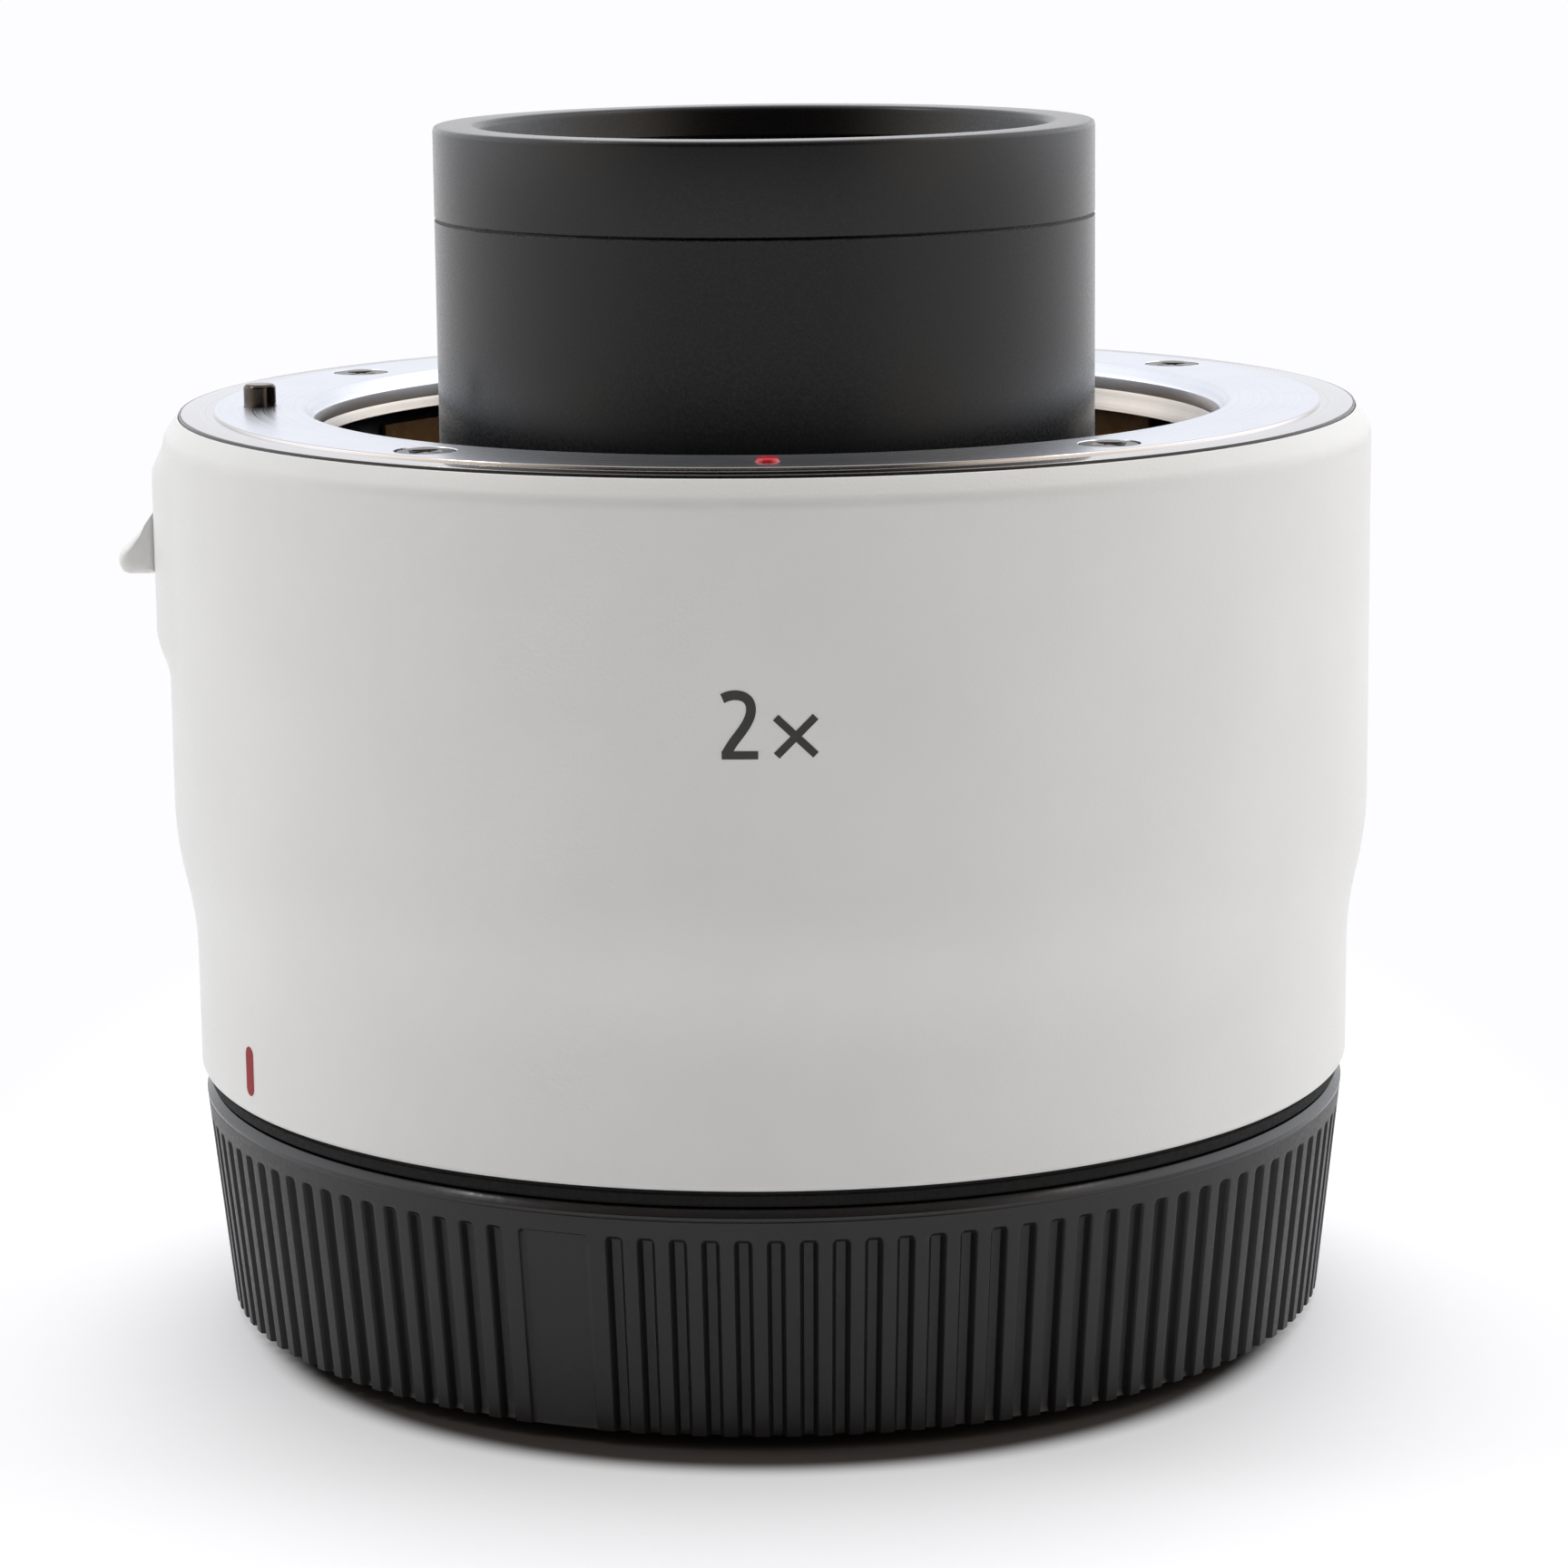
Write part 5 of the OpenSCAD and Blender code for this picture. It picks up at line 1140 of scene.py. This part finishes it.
@dataclass
class Hardware:
    """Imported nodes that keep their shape: round ones get smooth copies, the others only their finish."""

    smooth: dict[str, Body] = field(default_factory=lambda: {
        "front_lens": Body.EXTENDER, "doublet_front_lens": Body.EXTENDER, "doublet_rear_lens": Body.EXTENDER,
        "mount_ring_screws": Body.EXTENDER, "front_contact_pins": Body.CONTACTS, "front_cell": Body.EXTENDER,
        "front_retainer": Body.EXTENDER, "front_frame": Body.EXTENDER, "bayonet_springs": Body.EXTENDER,
        "contact_springs": Body.EXTENDER, "lock_pin_spring": Body.EXTENDER})
    pressed: dict[str, tuple[str, float]] = field(default_factory=lambda: {
        "contact_springs": ("contact_press", 0.7), "lock_pin_spring": ("lock_pin_slide", 2.0)})
    weld_mm: float = 0.0005
    crease: float = 28.0
    frame_crease: float = 8.0

    def finish_of(self, node: str, slot: str) -> Any:
        """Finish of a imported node: its own, or else its slot's."""
        own = {"mount_ring_screws": SCREW_STEEL_PAINTED_DARK, "front_retainer": INNER_BLACK, "front_cell": INNER_BLACK,
               "front_spacer": INNER_BLACK, "rear_baffle": INNER_BLACK, "nose_barrel": NOSE_TUBE,
               "nose_front_ring": NOSE_RING}
        by_slot = {Slot.PAINT: BARREL_PAINT, Slot.CHROME: MOUNT_CHROME, Slot.STEEL: STEEL, Slot.ANODISED: ANODISED,
                   Slot.PLASTIC: INNER_PLASTIC, Slot.RUBBER: RUBBER, Slot.GLASS: FRONT_GLASS, Slot.GOLD: GOLD,
                   Slot.BRONZE: BRONZE, Slot.FILM: AMBER_FILM, Slot.BOARD: BOARD, Slot.ENAMEL: RED_ENAMEL}
        return own.get(node, by_slot[Slot(slot)])

    def build(self, finishes: FinishBook) -> None:
        """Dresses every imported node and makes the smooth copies."""
        for row in frame["record"]["subparts"]:
            node, slot = row["node"], row["material_slot"]
            finish = finishes.of(self.finish_of(node, slot))
            for holder in bpy.data.objects[node].material_slots:
                holder.material = finish
            if node in self.smooth:
                piece = place(f"{node}_smooth", self.welded(node), finish, self.smooth[node], [node])
                if node in self.pressed:
                    self.press(piece)

    def press(self, piece: bpy.types.Object) -> None:
        """Gives a spring its own copy of its mesh."""
        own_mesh(piece)

    def welded(self, node: str) -> bpy.types.Mesh:
        """Copy of a node's mesh with its loose triangles joined and its round faces smooth."""
        mesh = bpy.data.objects[node].data.copy()
        work = bmesh.new()
        work.from_mesh(mesh)
        bmesh.ops.remove_doubles(work, verts=work.verts, dist=self.weld_mm * MM)
        work.to_mesh(mesh)
        work.free()
        mesh.polygons.foreach_set("use_smooth", np.ones(len(mesh.polygons), bool))
        mesh.set_sharp_from_angle(angle=np.radians(self.frame_crease if node == "front_frame" else self.crease))
        return mesh


@dataclass
class Studio:
    """White sweep, light tent and camera of the photograph."""

    camera_place: Triple = (0.0, -0.28835, 0.0868)
    yaw: float = 0.155
    pitch: float = 10.99
    roll: float = -0.6
    focal_px: float = 5380.0
    image_px: float = 1728.0
    sensor_mm: float = 36.0
    clip: Pair = (0.01, 50.0)
    floor_half: float = 9.0
    paper: tuple[str, str] = ("#FCFCFE", "#F9F9FC")
    fibre_mm: float = 1.2
    far_white: str = "#FDFDFF"
    # The floor turns to plain white over this reach of the oval distance; at the sides it starts just beside the
    # object, which paints light over its shadow there
    fade: Pair = (0.03, 0.06)
    fade_oval: Triple = (1.0, 0.4, 1.0)
    # Colour of a contact shadow painted into the floor in front of the cap: a circle set forward by the shift, with a
    # soft edge
    painted_shadow: str = "#504C49"
    painted_shadow_shift: float = 0.006
    painted_shadow_edge: Pair = (0.0288, 0.0316)
    # Share of painted white light that lifts the floor beside the object over its shadow, rising at the painted
    # shadow's edge
    painted_light_beside: float = 0.34
    near_white: float = 0.93
    top_power: float = 3.5
    top_size: float = 0.45
    top_place: Triple = (0.02, 0.24, 0.62)
    side_power: Pair = (0.6, 0.3)
    side_size: float = 0.12
    side_place: Triple = (0.42, 0.0, 0.6)
    front_glow: float = 0.03
    back_glow: float = 0.9
    side_glow: float = 0.98
    ahead_band: Pair = (-0.72, 0.35)
    side_band: Pair = (0.45, 0.95)
    right_lean: float = 0.1
    mirror_lift: float = 0.2
    front_tint: str = "#FFF3E0"
    back_tint: str = "#F8FAFF"

    def build(self) -> None:
        """Builds the floor, the light and the camera."""
        self.floor()
        self.tent()
        self.lamps()
        self.camera()
        bpy.context.scene.view_settings.view_transform = "Standard"

    def floor(self) -> None:
        """A wide pale floor, matt near the object and plain white far from it.

        Where camera, glossy or transmitted rays meet it, painted white light lifts it beside the object, over the
        object's shadow, and the plain white starts close beside it. In front of the cap a narrow dark contact shadow is
        painted into its colour.
        """
        h = self.floor_half
        mesh = bpy.data.meshes.new("floor")
        mesh.from_pydata([(-h, -h, 0.0), (h, -h, 0.0), (h, h, 0.0), (-h, h, 0.0)], [], [(0, 1, 2, 3)])
        sheet = bpy.data.objects.new("floor", mesh)
        bpy.context.scene.collection.objects.link(sheet)
        material = bpy.data.materials.new("paper_with_painted_shadow_and_light")
        web = Web.of(material)
        place_at = web.place_at()
        away = web.reach(place_at, "MULTIPLY", self.fade_oval)
        rim = web.reach(place_at, "ADD", (0.0, self.painted_shadow_shift, 0.0))
        # Painted light for camera, glossy and transmitted rays: the plain white starts close beside the object, and
        # from the painted shadow's edge a share of white lifts the floor over the object's shadow
        far = web.ramp(away, self.fade, smooth=True)
        near = web.ramp(rim, self.painted_shadow_edge, (0.0, self.painted_light_beside), smooth=True)
        share = web.math("MULTIPLY", self.seen(web), web.level(far, near, 1.0))
        paper = web.blend(web.noise(place_at, self.fibre_mm, 4.0), *map(linear, self.paper))
        # Painted contact shadow: inside the circle the paper's colour turns to the shadow's colour, for every ray
        outside_painted_shadow = web.ramp(rim, self.painted_shadow_edge, smooth=True)
        matt = web.add("BsdfDiffuse", {"Color": web.blend(outside_painted_shadow, linear(self.painted_shadow), paper)})[0]
        bright = web.ramp(away, self.fade, (self.near_white, 1.0), smooth=True)
        white = web.add("Emission", {"Color": linear(self.far_white), "Strength": bright})[0]
        both = web.add("MixShader", {0: share, 1: matt, 2: white})[0]
        web.add("OutputMaterial", {"Surface": both})
        mesh.materials.append(material)

    def seen(self, web: Web) -> Socket:
        """Socket that is 1 for camera, glossy and transmitted rays."""
        path = web.add("LightPath")
        two = web.math("MAXIMUM", path["Is Camera Ray"], path["Is Glossy Ray"])
        return web.math("MAXIMUM", two, path["Is Transmission Ray"])

    def tent(self) -> None:
        """The world as a light tent: white behind and above, brighter at the sides, dim and warm where the
        photographer stands; a little brighter in reflections, and plain white to the camera itself."""
        world = bpy.data.worlds.new("light_tent")
        bpy.context.scene.world = world
        web = Web.of(world)
        axes = web.add("SeparateXYZ", {0: web.add("TexCoord")["Generated"]})
        ahead = web.ramp(axes["Y"], self.ahead_band, smooth=True)
        tint = web.blend(ahead, linear(self.front_tint), linear(self.back_tint))
        depth = web.ramp(ahead, (0.0, 1.0), (self.front_glow, self.back_glow))
        aside = web.math("MULTIPLY_ADD", axes["X"], self.right_lean, web.math("ABSOLUTE", axes["X"]))
        sides = web.ramp(aside, self.side_band, (0.0, self.side_glow), smooth=True)
        path = web.add("LightPath")
        lift = web.math("MULTIPLY_ADD", path["Is Glossy Ray"], self.mirror_lift, 1.0)
        glow = web.math("MULTIPLY", web.math("ADD", depth, sides), lift)
        is_camera = path["Is Camera Ray"]
        light = web.add("Background", {"Color": web.blend(is_camera, tint, WHITE),
                                       "Strength": web.level(is_camera, glow, 1.0)})[0]
        web.add("OutputWorld", {"Surface": light})

    def lamps(self) -> None:
        """A wide soft lamp overhead, kept out of reflections, which lifts the floor to white and grounds the part
        with a soft shadow, and a small one on each side, whose images run along the cap's top bevel."""
        self.lamp("overhead", self.top_power, self.top_size, self.top_place).visible_glossy = False
        x, y, z = self.side_place
        self.lamp("left_softbox", self.side_power[0], self.side_size, (-x, y, z))
        self.lamp("right_softbox", self.side_power[1], self.side_size, (x, y, z))

    def lamp(self, name: str, power: float, size: float, place_at: Triple) -> bpy.types.Object:
        """Hangs a square lamp that shines straight down."""
        light = bpy.data.lights.new(name, "AREA")
        light.shape, light.size, light.energy = "SQUARE", size, power
        lamp = bpy.data.objects.new(name, light)
        bpy.context.scene.collection.objects.link(lamp)
        lamp.location = place_at
        return lamp

    def camera(self) -> None:
        """The camera, turned by its yaw, pitch and roll; its lens is the focal length in pixels over the image's
        width, times the sensor's."""
        yaw, pitch, roll = np.radians([self.yaw, self.pitch, self.roll])
        ahead = np.array([np.sin(yaw) * np.cos(pitch), np.cos(yaw) * np.cos(pitch), -np.sin(pitch)])
        right = np.cross(ahead, (0.0, 0.0, 1.0))
        right /= np.linalg.norm(right)
        up = np.cross(right, ahead)
        turned_right = np.cos(roll) * right + np.sin(roll) * up
        turned_up = np.cos(roll) * up - np.sin(roll) * right
        data = bpy.data.cameras.new("camera")
        data.sensor_width = self.sensor_mm
        data.lens = self.focal_px / self.image_px * self.sensor_mm
        data.clip_start, data.clip_end = self.clip
        camera = bpy.data.objects.new("camera", data)
        bpy.context.scene.collection.objects.link(camera)
        axes = np.stack([turned_right, turned_up, -ahead], 1)
        camera.matrix_world = Matrix.Translation(self.camera_place) @ Matrix(axes.tolist()).to_4x4()
        bpy.context.scene.camera = camera


def main() -> None:
    """Builds the pieces in order."""
    logging.basicConfig(level=logging.INFO, format="%(message)s")
    finishes = FinishBook()
    for part in (Hardware(), Barrel(), LensMount(), Nose(), RearEnd(), ReleaseLever()):
        part.build(finishes)
    Studio().build()


if __name__ == "__main__":
    main()
